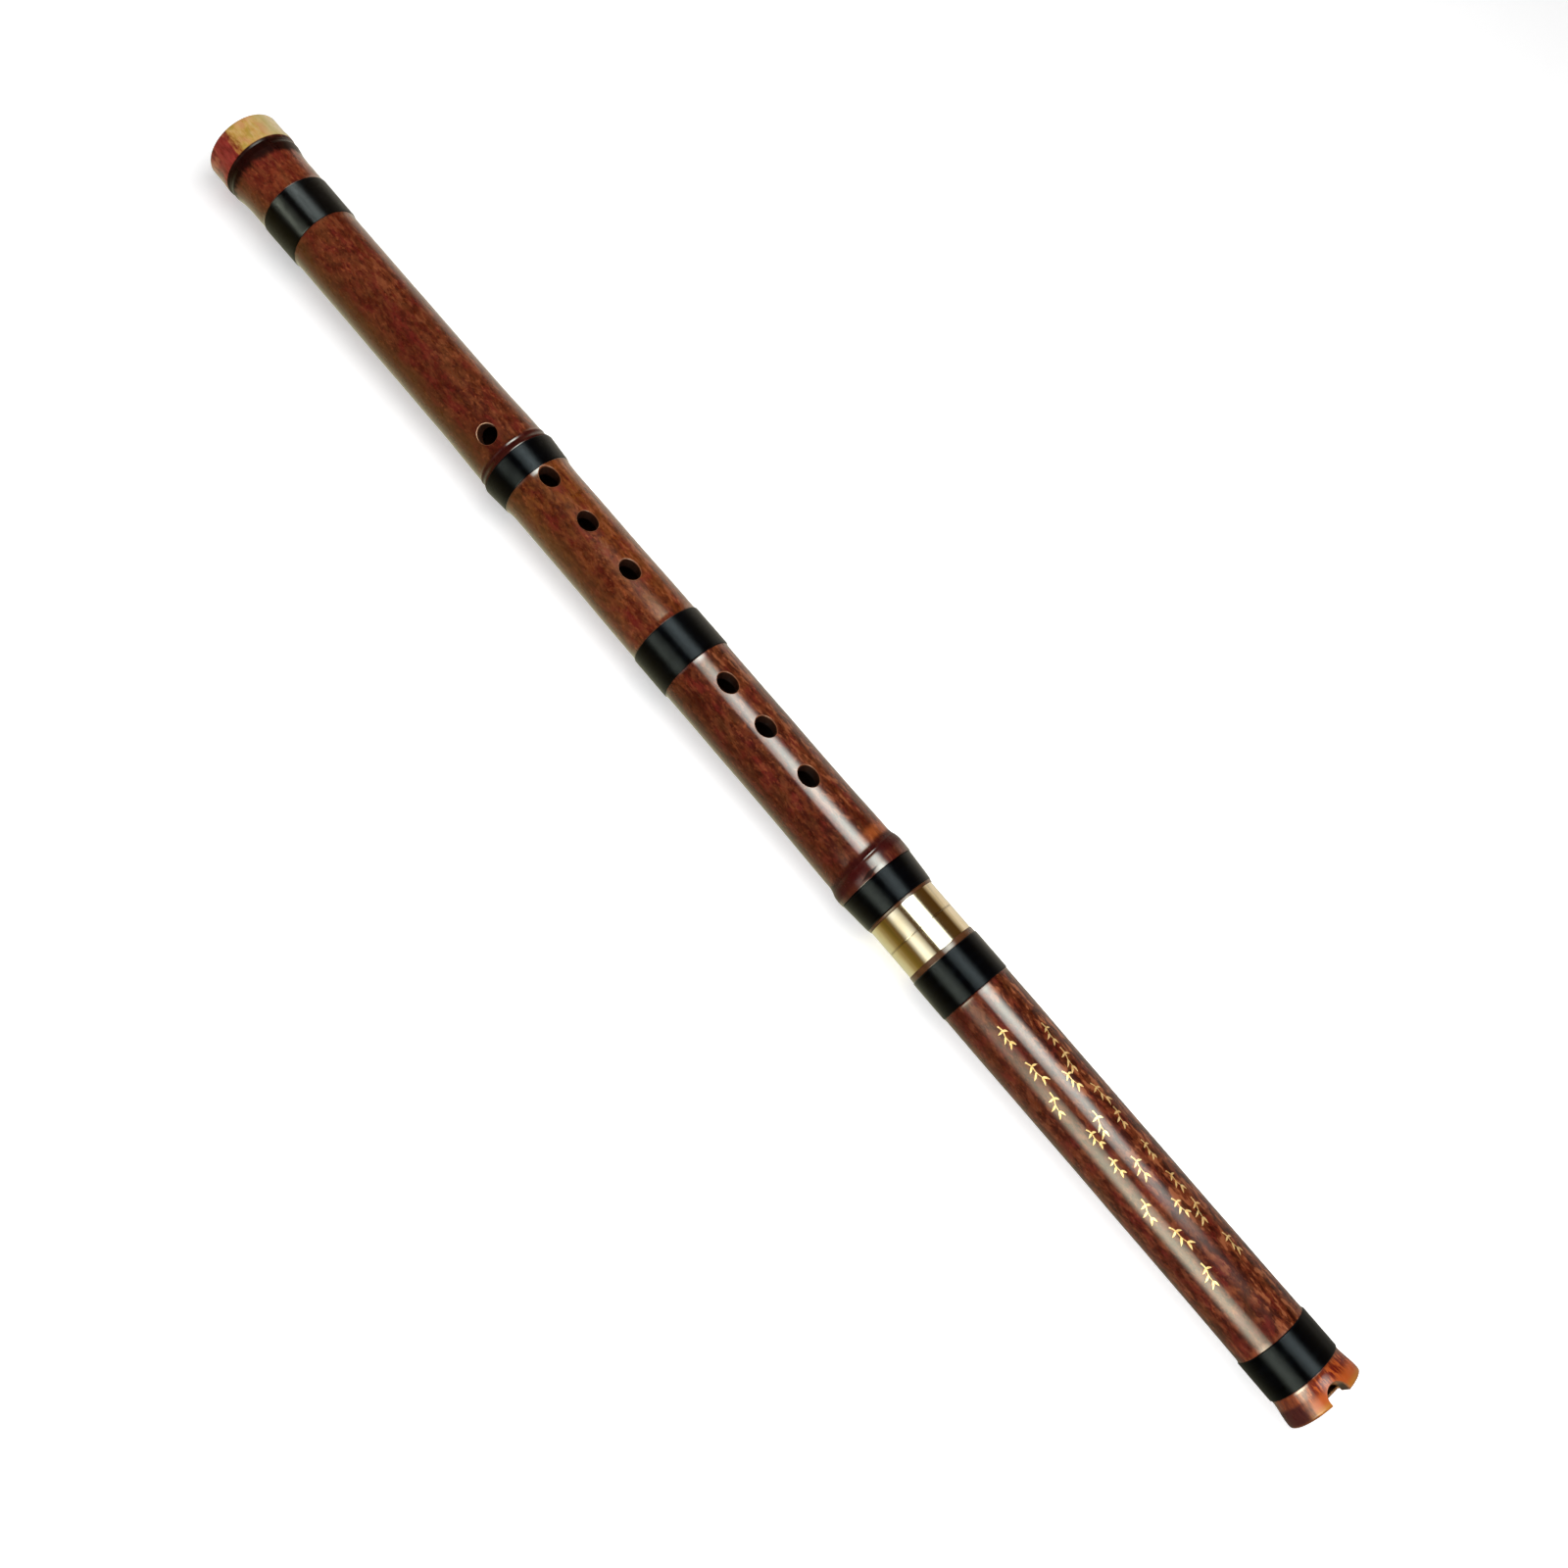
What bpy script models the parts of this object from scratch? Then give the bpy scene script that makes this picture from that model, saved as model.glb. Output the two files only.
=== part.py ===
# Two-piece end-blown bamboo flute. The foot section carries the finger holes, the head section has the
# blowing notch, and a brass tube joins them. It lies along X with the blowing end at +X, the finger holes
# face +Z, and the origin is under the middle of the flute, on the surface that it lies on. Metres.

import math
from collections import namedtuple

import bmesh
import bpy
from mathutils import Matrix, Vector

# Lengths of the sections, either side of the parting line
FOOT_LENGTH = 0.4283
HEAD_LENGTH = 0.2217
PARTING_GAP = 0.0003

# Every turned ring has this many sides, one of them facing straight down
SIDES = 28

# Bore, and the rounding of the bamboo where a section ends
BORE_RADIUS = 0.009
FOOT_ROUNDING = 0.0016
MOUTH_ROUNDING = 0.001
ROUNDING_STEPS = 3

# Fits: glued or wound pieces stand this far from their seats, and the brass tube runs this close
SEAT_GAP = 0.0003
RUNNING_GAP = 0.00005

# Brass tube: half of its length lies in each section
JOINT_DEPTH = 0.030
JOINT_WALL = 0.001
SOCKET_WALL = 0.0008

# Brass collars round the turned-down bamboo either side of the parting line
COLLAR_RADIUS = 0.01485
COLLAR_WALL = 0.001
FOOT_COLLAR_LENGTH = 0.0112
HEAD_COLLAR_LENGTH = 0.0109
COLLAR_CHAMFER = 0.0002

# Thread bindings, wound in shallow turned grooves
THREAD_BUILD = 0.0009
BINDING_SHOULDER = 0.0003

# Outer radius of the bamboo between its nodes, as distance along the section and radius. The foot
# section is measured from the foot end, and the head section from the parting line
FOOT_CULM = (
    (0.000, 0.01640),
    (0.010, 0.01640),
    (0.027, 0.01530),
    (0.066, 0.01500),
    (0.150, 0.01512),
    (0.176, 0.01560),
    (0.208, 0.01515),
    (0.240, 0.01518),
    (0.270, 0.01540),
    (0.362, 0.01538),
    (0.390, 0.01575),
    (0.417, 0.01520),
)
HEAD_CULM = (
    (0.000, 0.01510),
    (0.036, 0.01518),
    (0.100, 0.01502),
    (0.162, 0.01502),
    (0.195, 0.01515),
)

# Nodes of the bamboo: the crest's middle and flat length, its radius, and how far it rises and falls
Node = namedtuple("Node", "place crest radius rise fall")
FOOT_NODE = Node(0.0127, 0.0012, 0.01670, 0.0034, 0.0100)
LOWER_NODE = Node(0.1806, 0.0018, 0.01672, 0.0040, 0.0170)
UPPER_NODE_TO_JOINT = 0.0320
UPPER_NODE = Node(FOOT_LENGTH - UPPER_NODE_TO_JOINT, 0.0020, 0.01694, 0.0042, 0.0160)
NODE_STEPS = 4

# Flared rim of the blowing end
FLARE_LENGTH = 0.0105
FLARE_RADIUS = 0.01630
FLARE_STEPS = 4

# Bindings: distance from the section's start to the two ends, and the radius at each end. Three of
# them are placed from the parting line or the blowing end
Binding = namedtuple("Binding", "name start end start_radius end_radius")
FOOT_END_BINDING = Binding("foot_end_binding", 0.0362, 0.0566, 0.01565, 0.01550)
LOWER_NODE_BINDING = Binding("lower_node_binding", 0.1833, 0.1955, 0.01680, 0.01590)
MIDDLE_BINDING = Binding("middle_binding", 0.2764, 0.2947, 0.01590, 0.01595)
NODE_BINDING_LENGTH = 0.0127
NODE_BINDING_TO_JOINT = 0.0133
UPPER_NODE_BINDING = Binding(
    "upper_node_binding",
    FOOT_LENGTH - NODE_BINDING_TO_JOINT - NODE_BINDING_LENGTH,
    FOOT_LENGTH - NODE_BINDING_TO_JOINT,
    0.01652,
    0.01560,
)
HEAD_JOINT_BINDING = Binding("head_joint_binding", 0.0137, 0.0309, 0.01555, 0.01555)
MOUTH_BINDING_LENGTH = 0.0167
MOUTH_BINDING_TO_END = 0.0119
MOUTH_BINDING = Binding(
    "mouth_binding",
    HEAD_LENGTH - MOUTH_BINDING_TO_END - MOUTH_BINDING_LENGTH,
    HEAD_LENGTH - MOUTH_BINDING_TO_END,
    0.01565,
    0.01565,
)
FOOT_BINDINGS = (FOOT_END_BINDING, LOWER_NODE_BINDING, MIDDLE_BINDING, UPPER_NODE_BINDING)
HEAD_BINDINGS = (HEAD_JOINT_BINDING, MOUTH_BINDING)

# Finger holes in line along the top, from the foot end. The lowest hole is turned towards -Y for the
# little finger, and the thumb hole and two vents open at the back
HOLE_WIDTH = 0.0075
HOLE_LENGTH = 0.0098
ROW_HOLES = (0.2012, 0.2250, 0.2509, 0.3101, 0.3326, 0.3577)
LOWEST_HOLE = 0.1717
LOWEST_HOLE_WIDTH = 0.0083
LOWEST_HOLE_LENGTH = 0.0089
LOWEST_HOLE_TURN = math.radians(30)
THUMB_HOLE = 0.3800
VENT_WIDTH = 0.0070
VENTS = (0.0800, 0.1050)
HOLE_SIDES = 20

# Blowing notch: its width and depth at the bamboo's surface, its width at the bore, how far it cuts into
# the bamboo's own wall that closes the blowing end, and how far the head is turned from the finger holes
NOTCH_WIDTH = 0.0094
NOTCH_DEPTH = 0.0060
NOTCH_INNER_WIDTH = 0.0084
NOTCH_FLOOR_RADIUS = 0.0066
NOTCH_TURN = math.radians(5)
NOTCH_SIDES = 24
END_WALL = 0.0022
END_WALL_RECESS = 0.0010

# How far a cutter stands past the surface that it cuts
CUTTER_SPARE = 0.004

AXIS_HEIGHT = UPPER_NODE.radius
MIDDLE = (FOOT_LENGTH + HEAD_LENGTH) / 2

Finish = namedtuple("Finish", "colour roughness metallic")
BAMBOO = Finish((0.16, 0.045, 0.018), 0.28, 0.0)
THREAD = Finish((0.006, 0.006, 0.007), 0.22, 0.0)
BRASS = Finish((0.78, 0.57, 0.24), 0.18, 1.0)


def clear_scene():
    for obj in list(bpy.data.objects):
        bpy.data.objects.remove(obj, do_unlink=True)


def finish(obj, name, look):
    """Gives the piece a material of its own and round shading with its edges kept."""
    material = bpy.data.materials.new(name)
    material.use_nodes = True
    shader = material.node_tree.nodes["Principled BSDF"]
    shader.inputs["Base Color"].default_value = (*look.colour, 1.0)
    shader.inputs["Roughness"].default_value = look.roughness
    shader.inputs["Metallic"].default_value = look.metallic
    obj.data.materials.append(material)
    obj.data.shade_smooth()
    obj.data.set_sharp_from_angle(angle=math.radians(30))


def add_piece(name, mesh_builder, look, parent):
    """Makes one named piece from a bmesh and hangs it on its section's empty."""
    mesh = bpy.data.meshes.new(name)
    mesh_builder.to_mesh(mesh)
    mesh_builder.free()
    piece = bpy.data.objects.new(name, mesh)
    bpy.context.scene.collection.objects.link(piece)
    piece.parent = parent
    finish(piece, name, look)
    return piece


def add_section(name, distance):
    """An empty on the flute's axis, at a distance from the foot end."""
    empty = bpy.data.objects.new(name, None)
    bpy.context.scene.collection.objects.link(empty)
    empty.location = (distance - MIDDLE, 0, AXIS_HEIGHT)
    return empty


def ease(share):
    share = min(max(share, 0.0), 1.0)
    return share * share * (3 - 2 * share)


def culm_radius(culm, distance):
    """Radius of the bamboo, eased from one measured place to the next."""
    for (start, start_radius), (end, end_radius) in zip(culm, culm[1:]):
        if distance <= end:
            return start_radius + (end_radius - start_radius) * ease((distance - start) / (end - start))
    return culm[-1][1]


def node_share(node, distance):
    """How much of a node stands at a distance: 1 on its crest, 0 past its foot."""
    beyond = abs(distance - node.place) - node.crest / 2
    reach = node.rise if distance < node.place else node.fall
    return 1 - ease(beyond / reach)


def foot_radius(distance):
    radius = culm_radius(FOOT_CULM, distance)
    for node in (FOOT_NODE, LOWER_NODE, UPPER_NODE):
        radius += (node.radius - radius) * node_share(node, distance)
    return radius


def head_radius(distance):
    radius = culm_radius(HEAD_CULM, distance)
    flare = ease((distance - (HEAD_LENGTH - FLARE_LENGTH)) / (FLARE_LENGTH - MOUTH_ROUNDING))
    return radius + (FLARE_RADIUS - radius) * flare


def node_places(node):
    """Where the outline needs a ring to follow a node."""
    start = node.place - node.crest / 2
    end = node.place + node.crest / 2
    rise = [start - node.rise * step / NODE_STEPS for step in range(NODE_STEPS + 1)]
    fall = [end + node.fall * step / NODE_STEPS for step in range(NODE_STEPS + 1)]
    return rise + fall


def surface(radius_at, places, start, end):
    """Outline points of the bamboo's surface from start to end, with the places that lie between."""
    inside = sorted(place for place in places if start < place < end)
    return [(place, radius_at(place)) for place in [start, *inside, end]]


def groove(binding):
    """The two floor corners of the groove that a binding is wound in."""
    depth = THREAD_BUILD + SEAT_GAP
    start = binding.start - SEAT_GAP
    end = binding.end + SEAT_GAP
    return [(start, binding.start_radius - depth), (end, binding.end_radius - depth)]


def grooved_surface(radius_at, places, bindings, start, end):
    """Outline of a section's outside from start to end, stepping down into each binding's groove."""
    outline = []
    for binding in bindings:
        floor = groove(binding)
        outline += surface(radius_at, places, start, floor[0][0])
        outline += floor
        start = floor[1][0]
    return outline + surface(radius_at, places, start, end)


def rounded_corner(end, inward, radius, rounding):
    """Points of a quarter round where the outside meets an end face; inward is +1 or -1 along X."""
    turns = [math.pi / 2 * step / ROUNDING_STEPS for step in range(ROUNDING_STEPS + 1)]
    return [
        (
            end + inward * rounding * (1 - math.sin(turn)),
            radius - rounding * (1 - math.cos(turn)),
        )
        for turn in turns
    ]


def turned(outline, closed=True):
    """Spins an outline round the X axis into a solid with SIDES flat sides, each at the outline's radius."""
    builder = bmesh.new()
    corner = 1 / math.cos(math.pi / SIDES)
    verts = [builder.verts.new((distance, 0, radius * corner)) for distance, radius in outline]
    edges = [builder.edges.new(pair) for pair in zip(verts, verts[1:])]
    if closed:
        edges.append(builder.edges.new((verts[-1], verts[0])))
    half_side = Matrix.Rotation(math.pi / SIDES, 3, "X")
    bmesh.ops.rotate(builder, verts=verts, cent=(0, 0, 0), matrix=half_side)
    bmesh.ops.spin(
        builder,
        geom=verts + edges,
        cent=(0, 0, 0),
        axis=(1, 0, 0),
        angle=2 * math.pi,
        steps=SIDES,
        use_merge=True,
    )
    bmesh.ops.remove_doubles(builder, verts=builder.verts, dist=1e-7)
    bmesh.ops.recalc_face_normals(builder, faces=builder.faces)
    return builder


def ring(start, end, inner_radius, outer_radius, chamfer=0.0):
    """A plain turned tube, with its outer corners taken off by the chamfer."""
    outline = [(end, inner_radius), (start, inner_radius)]
    if chamfer:
        outline += [(start, outer_radius - chamfer), (start + chamfer, outer_radius)]
        outline += [(end - chamfer, outer_radius), (end, outer_radius - chamfer)]
    else:
        outline += [(start, outer_radius), (end, outer_radius)]
    return turned(outline)


def wound_band(binding):
    """A binding: a sleeve of thread with softly rounded shoulders."""
    inner = THREAD_BUILD
    shoulder = BINDING_SHOULDER
    return turned(
        [
            (binding.end, binding.end_radius - inner),
            (binding.start, binding.start_radius - inner),
            (binding.start, binding.start_radius - shoulder),
            (binding.start + shoulder, binding.start_radius),
            (binding.end - shoulder, binding.end_radius),
            (binding.end, binding.end_radius - shoulder),
        ]
    )


def oval_drill(builder, distance, width, length, turn):
    """Adds a drill that runs from inside the bore out through the wall; turn 0 points up."""
    inner = BORE_RADIUS / 2
    outer = AXIS_HEIGHT + CUTTER_SPARE
    drill = bmesh.ops.create_cone(
        builder,
        cap_ends=True,
        segments=HOLE_SIDES,
        radius1=width / 2,
        radius2=width / 2,
        depth=outer - inner,
    )["verts"]
    bmesh.ops.scale(builder, vec=(length / width, 1, 1), verts=drill)
    bmesh.ops.translate(builder, vec=(distance, 0, (inner + outer) / 2), verts=drill)
    around = Matrix.Rotation(turn, 3, "X")
    bmesh.ops.rotate(builder, cent=(0, 0, 0), matrix=around, verts=drill)


def cut(piece, cutter_name, builder):
    """Cuts a bmesh out of a piece with a live Boolean, and keeps the cutter as a hidden guide."""
    mesh = bpy.data.meshes.new(cutter_name)
    builder.to_mesh(mesh)
    builder.free()
    cutter = bpy.data.objects.new(cutter_name, mesh)
    bpy.context.scene.collection.objects.link(cutter)
    cutter.parent = piece.parent
    cutter.hide_render = True
    cutter.display_type = "WIRE"
    boolean = piece.modifiers.new(cutter_name, "BOOLEAN")
    boolean.operation = "DIFFERENCE"
    boolean.solver = "EXACT"
    boolean.object = cutter


def spigot_radius():
    """Radius of the turned-down bamboo inside a collar."""
    return COLLAR_RADIUS - COLLAR_WALL - SEAT_GAP


def joint_outer_radius():
    return BORE_RADIUS + JOINT_WALL


def socket_outer_radius():
    return joint_outer_radius() + RUNNING_GAP + SOCKET_WALL


def make_foot_tube(section):
    face = FOOT_LENGTH - PARTING_GAP / 2
    seat = face - FOOT_COLLAR_LENGTH - SEAT_GAP
    shoulder = FOOT_LENGTH - JOINT_DEPTH - SEAT_GAP
    running_bore = joint_outer_radius() + RUNNING_GAP
    places = [place for place, radius in FOOT_CULM]
    for node in (FOOT_NODE, LOWER_NODE, UPPER_NODE):
        places += node_places(node)
    outline = list(reversed(rounded_corner(0, 1, foot_radius(FOOT_ROUNDING), FOOT_ROUNDING)))
    outline += grooved_surface(foot_radius, places, FOOT_BINDINGS, FOOT_ROUNDING, seat)[1:]
    outline += [(seat, spigot_radius()), (face, spigot_radius())]
    outline += [(face, running_bore), (shoulder, running_bore)]
    outline += [(shoulder, BORE_RADIUS), (0, BORE_RADIUS)]
    tube = add_piece("foot_tube", turned(outline), BAMBOO, section)
    drills = bmesh.new()
    for distance in ROW_HOLES:
        oval_drill(drills, distance, HOLE_WIDTH, HOLE_LENGTH, 0)
    oval_drill(drills, LOWEST_HOLE, LOWEST_HOLE_WIDTH, LOWEST_HOLE_LENGTH, LOWEST_HOLE_TURN)
    oval_drill(drills, THUMB_HOLE, HOLE_WIDTH, HOLE_LENGTH, math.pi)
    for distance in VENTS:
        oval_drill(drills, distance, VENT_WIDTH, VENT_WIDTH, math.pi)
    cut(tube, "finger_hole_drills", drills)


def notch_cutter():
    """A notch that is round at its foot, open past the blowing end, and wider outside than at the bore."""
    builder = bmesh.new()
    surface_radius = head_radius(HEAD_LENGTH - NOTCH_DEPTH)
    slope = (NOTCH_WIDTH - NOTCH_INNER_WIDTH) / 2 / (surface_radius - BORE_RADIUS)
    floor = NOTCH_FLOOR_RADIUS
    top = FLARE_RADIUS + CUTTER_SPARE
    middle = HEAD_LENGTH - NOTCH_DEPTH + NOTCH_WIDTH / 2
    for distance in (middle, HEAD_LENGTH + CUTTER_SPARE):
        plug = bmesh.ops.create_cone(
            builder,
            cap_ends=True,
            segments=NOTCH_SIDES,
            radius1=NOTCH_WIDTH / 2 - slope * (surface_radius - floor),
            radius2=NOTCH_WIDTH / 2 + slope * (top - surface_radius),
            depth=top - floor,
        )["verts"]
        bmesh.ops.translate(builder, vec=(distance, 0, (floor + top) / 2), verts=plug)
    hull = bmesh.ops.convex_hull(builder, input=builder.verts)
    spare = {item for item in hull["geom_interior"] + hull["geom_unused"]}
    loose = [item for item in spare if isinstance(item, bmesh.types.BMVert)]
    bmesh.ops.delete(builder, geom=loose, context="VERTS")
    old_faces = [face for face in builder.faces if face not in hull["geom"]]
    bmesh.ops.delete(builder, geom=old_faces, context="FACES")
    around = Matrix.Rotation(NOTCH_TURN, 3, "X")
    bmesh.ops.rotate(builder, cent=(0, 0, 0), matrix=around, verts=builder.verts)
    bmesh.ops.recalc_face_normals(builder, faces=builder.faces)
    return builder


def make_head_tube(section):
    face = PARTING_GAP / 2
    seat = face + HEAD_COLLAR_LENGTH + SEAT_GAP
    end = HEAD_LENGTH
    wall_outside = end - END_WALL_RECESS
    wall_inside = wall_outside - END_WALL
    shoulder = JOINT_DEPTH + SEAT_GAP
    socket_seat = socket_outer_radius() + SEAT_GAP
    places = [place for place, radius in HEAD_CULM]
    places += [end - FLARE_LENGTH * step / FLARE_STEPS for step in range(1, FLARE_STEPS + 1)]
    corner = rounded_corner(end, -1, head_radius(end - MOUTH_ROUNDING), MOUTH_ROUNDING)
    outline = [(wall_inside, 0), (wall_inside, BORE_RADIUS), (shoulder, BORE_RADIUS)]
    outline += [(shoulder, socket_seat), (face, socket_seat)]
    outline += [(face, spigot_radius()), (seat, spigot_radius())]
    outline += grooved_surface(head_radius, places, HEAD_BINDINGS, seat, end - MOUTH_ROUNDING)
    outline += corner[1:]
    outline += [(end, BORE_RADIUS), (wall_outside, BORE_RADIUS), (wall_outside, 0)]
    tube = add_piece("head_tube", turned(outline, closed=False), BAMBOO, section)
    cut(tube, "notch_cutter", notch_cutter())


def make_joint(foot_section, head_section):
    half_gap = PARTING_GAP / 2
    collar_bore = COLLAR_RADIUS - COLLAR_WALL
    foot_face = FOOT_LENGTH - half_gap
    foot_collar = ring(
        foot_face - FOOT_COLLAR_LENGTH, foot_face, collar_bore, COLLAR_RADIUS, COLLAR_CHAMFER
    )
    add_piece("foot_collar", foot_collar, BRASS, foot_section)
    head_collar = ring(
        half_gap, half_gap + HEAD_COLLAR_LENGTH, collar_bore, COLLAR_RADIUS, COLLAR_CHAMFER
    )
    add_piece("head_collar", head_collar, BRASS, head_section)
    # The tube's corners, not its flats, lie at its radius, so that it can turn in its bores
    joint_flat = joint_outer_radius() * math.cos(math.pi / SIDES)
    joint_tube = ring(-JOINT_DEPTH, JOINT_DEPTH, BORE_RADIUS, joint_flat)
    add_piece("joint_tube", joint_tube, BRASS, head_section)
    socket_bore = joint_outer_radius() + RUNNING_GAP
    socket = ring(half_gap, JOINT_DEPTH, socket_bore, socket_outer_radius())
    add_piece("head_socket", socket, BRASS, head_section)


def make_bindings(bindings, section):
    for binding in bindings:
        add_piece(binding.name, wound_band(binding), THREAD, section)


def build():
    clear_scene()
    foot_section = add_section("foot_section", 0)
    head_section = add_section("head_section", FOOT_LENGTH)
    make_foot_tube(foot_section)
    make_head_tube(head_section)
    make_joint(foot_section, head_section)
    make_bindings(FOOT_BINDINGS, foot_section)
    make_bindings(HEAD_BINDINGS, head_section)
    bpy.context.view_layer.update()


build()
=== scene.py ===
import math
from collections import namedtuple

import bmesh
import bpy
import numpy as np
from mathutils import Matrix, Vector


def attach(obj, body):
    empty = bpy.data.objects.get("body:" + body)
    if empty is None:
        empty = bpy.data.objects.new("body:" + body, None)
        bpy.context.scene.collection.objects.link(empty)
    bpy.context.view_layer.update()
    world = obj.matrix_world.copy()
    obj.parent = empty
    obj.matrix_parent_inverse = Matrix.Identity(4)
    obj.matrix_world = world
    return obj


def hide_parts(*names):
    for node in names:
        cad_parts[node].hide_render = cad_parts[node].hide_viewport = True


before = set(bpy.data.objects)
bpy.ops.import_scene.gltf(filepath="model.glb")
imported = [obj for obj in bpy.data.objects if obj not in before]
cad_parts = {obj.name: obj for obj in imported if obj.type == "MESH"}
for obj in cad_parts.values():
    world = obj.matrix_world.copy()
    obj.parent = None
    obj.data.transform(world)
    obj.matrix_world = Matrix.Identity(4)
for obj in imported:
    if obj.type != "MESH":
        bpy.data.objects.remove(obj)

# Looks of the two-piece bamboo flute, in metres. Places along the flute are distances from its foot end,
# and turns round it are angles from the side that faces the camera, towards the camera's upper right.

# The same lengths as the CAD part has
FOOT_LENGTH = 0.4283
HEAD_LENGTH = 0.2217
WHOLE_LENGTH = FOOT_LENGTH + HEAD_LENGTH
PARTING_GAP = 0.0003
BORE_RADIUS = 0.009
FOOT_ROUNDING = 0.0016
MOUTH_ROUNDING = 0.001
SEAT_GAP = 0.0003
RUNNING_GAP = 0.00005
JOINT_DEPTH = 0.030
JOINT_WALL = 0.001
SOCKET_WALL = 0.0008
COLLAR_RADIUS = 0.01485
COLLAR_WALL = 0.001
FOOT_COLLAR_LENGTH = 0.0112
HEAD_COLLAR_LENGTH = 0.0109
COLLAR_EDGE = 0.00008
THREAD_BUILD = 0.0009
AXIS_HEIGHT = 0.01694
MIDDLE = WHOLE_LENGTH / 2

# Outer radius of the bamboo between its nodes, all from the foot end
CULM = (
    (0.000, 0.01640),
    (0.010, 0.01640),
    (0.027, 0.01530),
    (0.066, 0.01500),
    (0.150, 0.01512),
    (0.176, 0.01560),
    (0.208, 0.01515),
    (0.240, 0.01518),
    (0.270, 0.01540),
    (0.362, 0.01538),
    (0.390, 0.01575),
    (0.417, 0.01520),
    (FOOT_LENGTH, 0.01510),
    (FOOT_LENGTH + 0.036, 0.01518),
    (FOOT_LENGTH + 0.100, 0.01502),
    (FOOT_LENGTH + 0.162, 0.01502),
    (FOOT_LENGTH + 0.195, 0.01515),
)
Node = namedtuple("Node", "place crest radius rise fall")
FOOT_NODE = Node(0.0120, 0.0012, 0.01668, 0.0040, 0.0095)
LOWER_NODE = Node(0.1855, 0.0014, 0.01672, 0.0042, 0.0140)
UPPER_NODE = Node(0.3985, 0.0014, 0.01692, 0.0056, 0.0145)
FLARE_LENGTH = 0.0116
FLARE_RADIUS = 0.01630

Binding = namedtuple("Binding", "name start end start_radius end_radius")
FOOT_BINDINGS = (
    Binding("foot_end_binding", 0.0370, 0.0562, 0.01565, 0.01550),
    Binding("lower_node_binding", 0.1843, 0.1955, 0.01680, 0.01590),
    Binding("middle_binding", 0.2764, 0.2947, 0.01590, 0.01595),
    Binding("upper_node_binding", 0.4028, 0.4154, 0.01652, 0.01560),
)
HEAD_BINDINGS = (
    Binding("head_joint_binding", 0.4420, 0.4592, 0.01555, 0.01555),
    Binding("mouth_binding", 0.6214, 0.6381, 0.01565, 0.01565),
)

HOLE_WIDTH = 0.0075
HOLE_LENGTH = 0.0098
ROW_HOLES = (0.2012, 0.2250, 0.2509, 0.3101, 0.3326, 0.3577)
LOWEST_HOLE = 0.1717
LOWEST_HOLE_WIDTH = 0.0083
LOWEST_HOLE_LENGTH = 0.0089
LOWEST_HOLE_TURN = math.radians(30)
THUMB_HOLE = 0.3800
VENT_WIDTH = 0.0070
VENTS = (0.0800, 0.1050)
NOTCH_WIDTH = 0.0094
NOTCH_DEPTH = 0.0060
NOTCH_INNER_WIDTH = 0.0084
NOTCH_FLOOR_RADIUS = 0.0066
NOTCH_TURN = math.radians(5)
END_WALL = 0.0008
END_WALL_RECESS = 0.0010
TUBE_EDGE = 0.0002
SOCKET_EDGE = 0.0001

# How far the soft panels stand from the flute's axis
PANEL_DISTANCE = 0.728

# Fine detail that only the looks have
SIDES = 128
THREAD_SIDES = 96
BRASS_SIDES = 144
HOLE_SIDES = 56
NOTCH_SIDES = 64
RING_STEP = 0.0016
# Shorter steps between rings, each where the outline bends by more than the first number
BEND_REACH = 0.0004
SHORT_STEPS = ((0.00002, 0.00022), (0.000004, 0.0005))
THREAD_PITCH = 0.00038
THREAD_RINGS = 8
THREAD_HEIGHT = 0.00008
COARSE_THREAD_HEIGHT = 0.00012
THREAD_SHOULDER = 0.0004
THREAD_SHOULDER_DROP = 0.0003
THREAD_SAG = 0.00001
THREAD_SAGS = 900
THREAD_CLEARANCE = 0.00004
PARTING_LINE = 0.0001
SEAT_CLEARANCE = 0.00005
RING_CORNER = 0.0001
FOOT_BORE_EDGE = 0.0004
MOUTH_BORE_EDGE = 0.0003
WALL_CORNER = 0.0002
NOTCH_BEVEL = 0.0012
NOTCH_OVERRUN = 0.012
LIP = 0.00045
LIP_DEGREES = (15, 30, 45, 60)
LIP_SPREAD = 0.0008
LIP_RISE = 0.00033
DRILL_DEPTH = 0.0106
DRILL_TOP = 0.003
FILLET_HEIGHT = 0.00026
LOW_FILLET = 0.22 * FILLET_HEIGHT
HEAD_FILLET = 0.5 * FILLET_HEIGHT
FOOT_FILLET = 0.8 * FILLET_HEIGHT
FILLET_REACH = 0.0018
# Start, end and depth of the groove behind the foot ring, and how steeply its two walls fall
FOOT_GROOVE = (0.0132, 0.0168, 0.0005)
GROOVE_WALLS = (4, 2.2)
# Place, height and width of the scars that the sheaths left beside the nodes
SHEATH_SCARS = ((0.1801, 0.00030, 0.0007), (0.3953, 0.00013, 0.00035))
# The ring of the upper node leans this far along the flute on either side
NODE_LEAN = 0.0013
LEANING = (0.3850, 0.3880, 0.3995, 0.4018)
# Length along the flute, lobes round it, phase and height of the bamboo's unevenness
WAVES = (
    (0.061, 1, 0.4, 0.000030),
    (0.037, 2, 1.9, 0.000022),
    (0.023, 3, 4.1, 0.000010),
    (0.089, 2, 2.7, 0.000030),
)

# Radii that tell the outside of the bamboo and the side of the bore from what lies between
OUTSIDE_RADIUS = 0.0125
BORE_SIDE = 0.0102
# The shortest step between rings, and a length taken as nothing
TINY_STEP = 0.0001
TINY = 1e-6

# Materials work in millimetres, and take the bamboo's radius as this
TO_MM = 1000
COMMON_RADIUS_MM = 15

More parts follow.
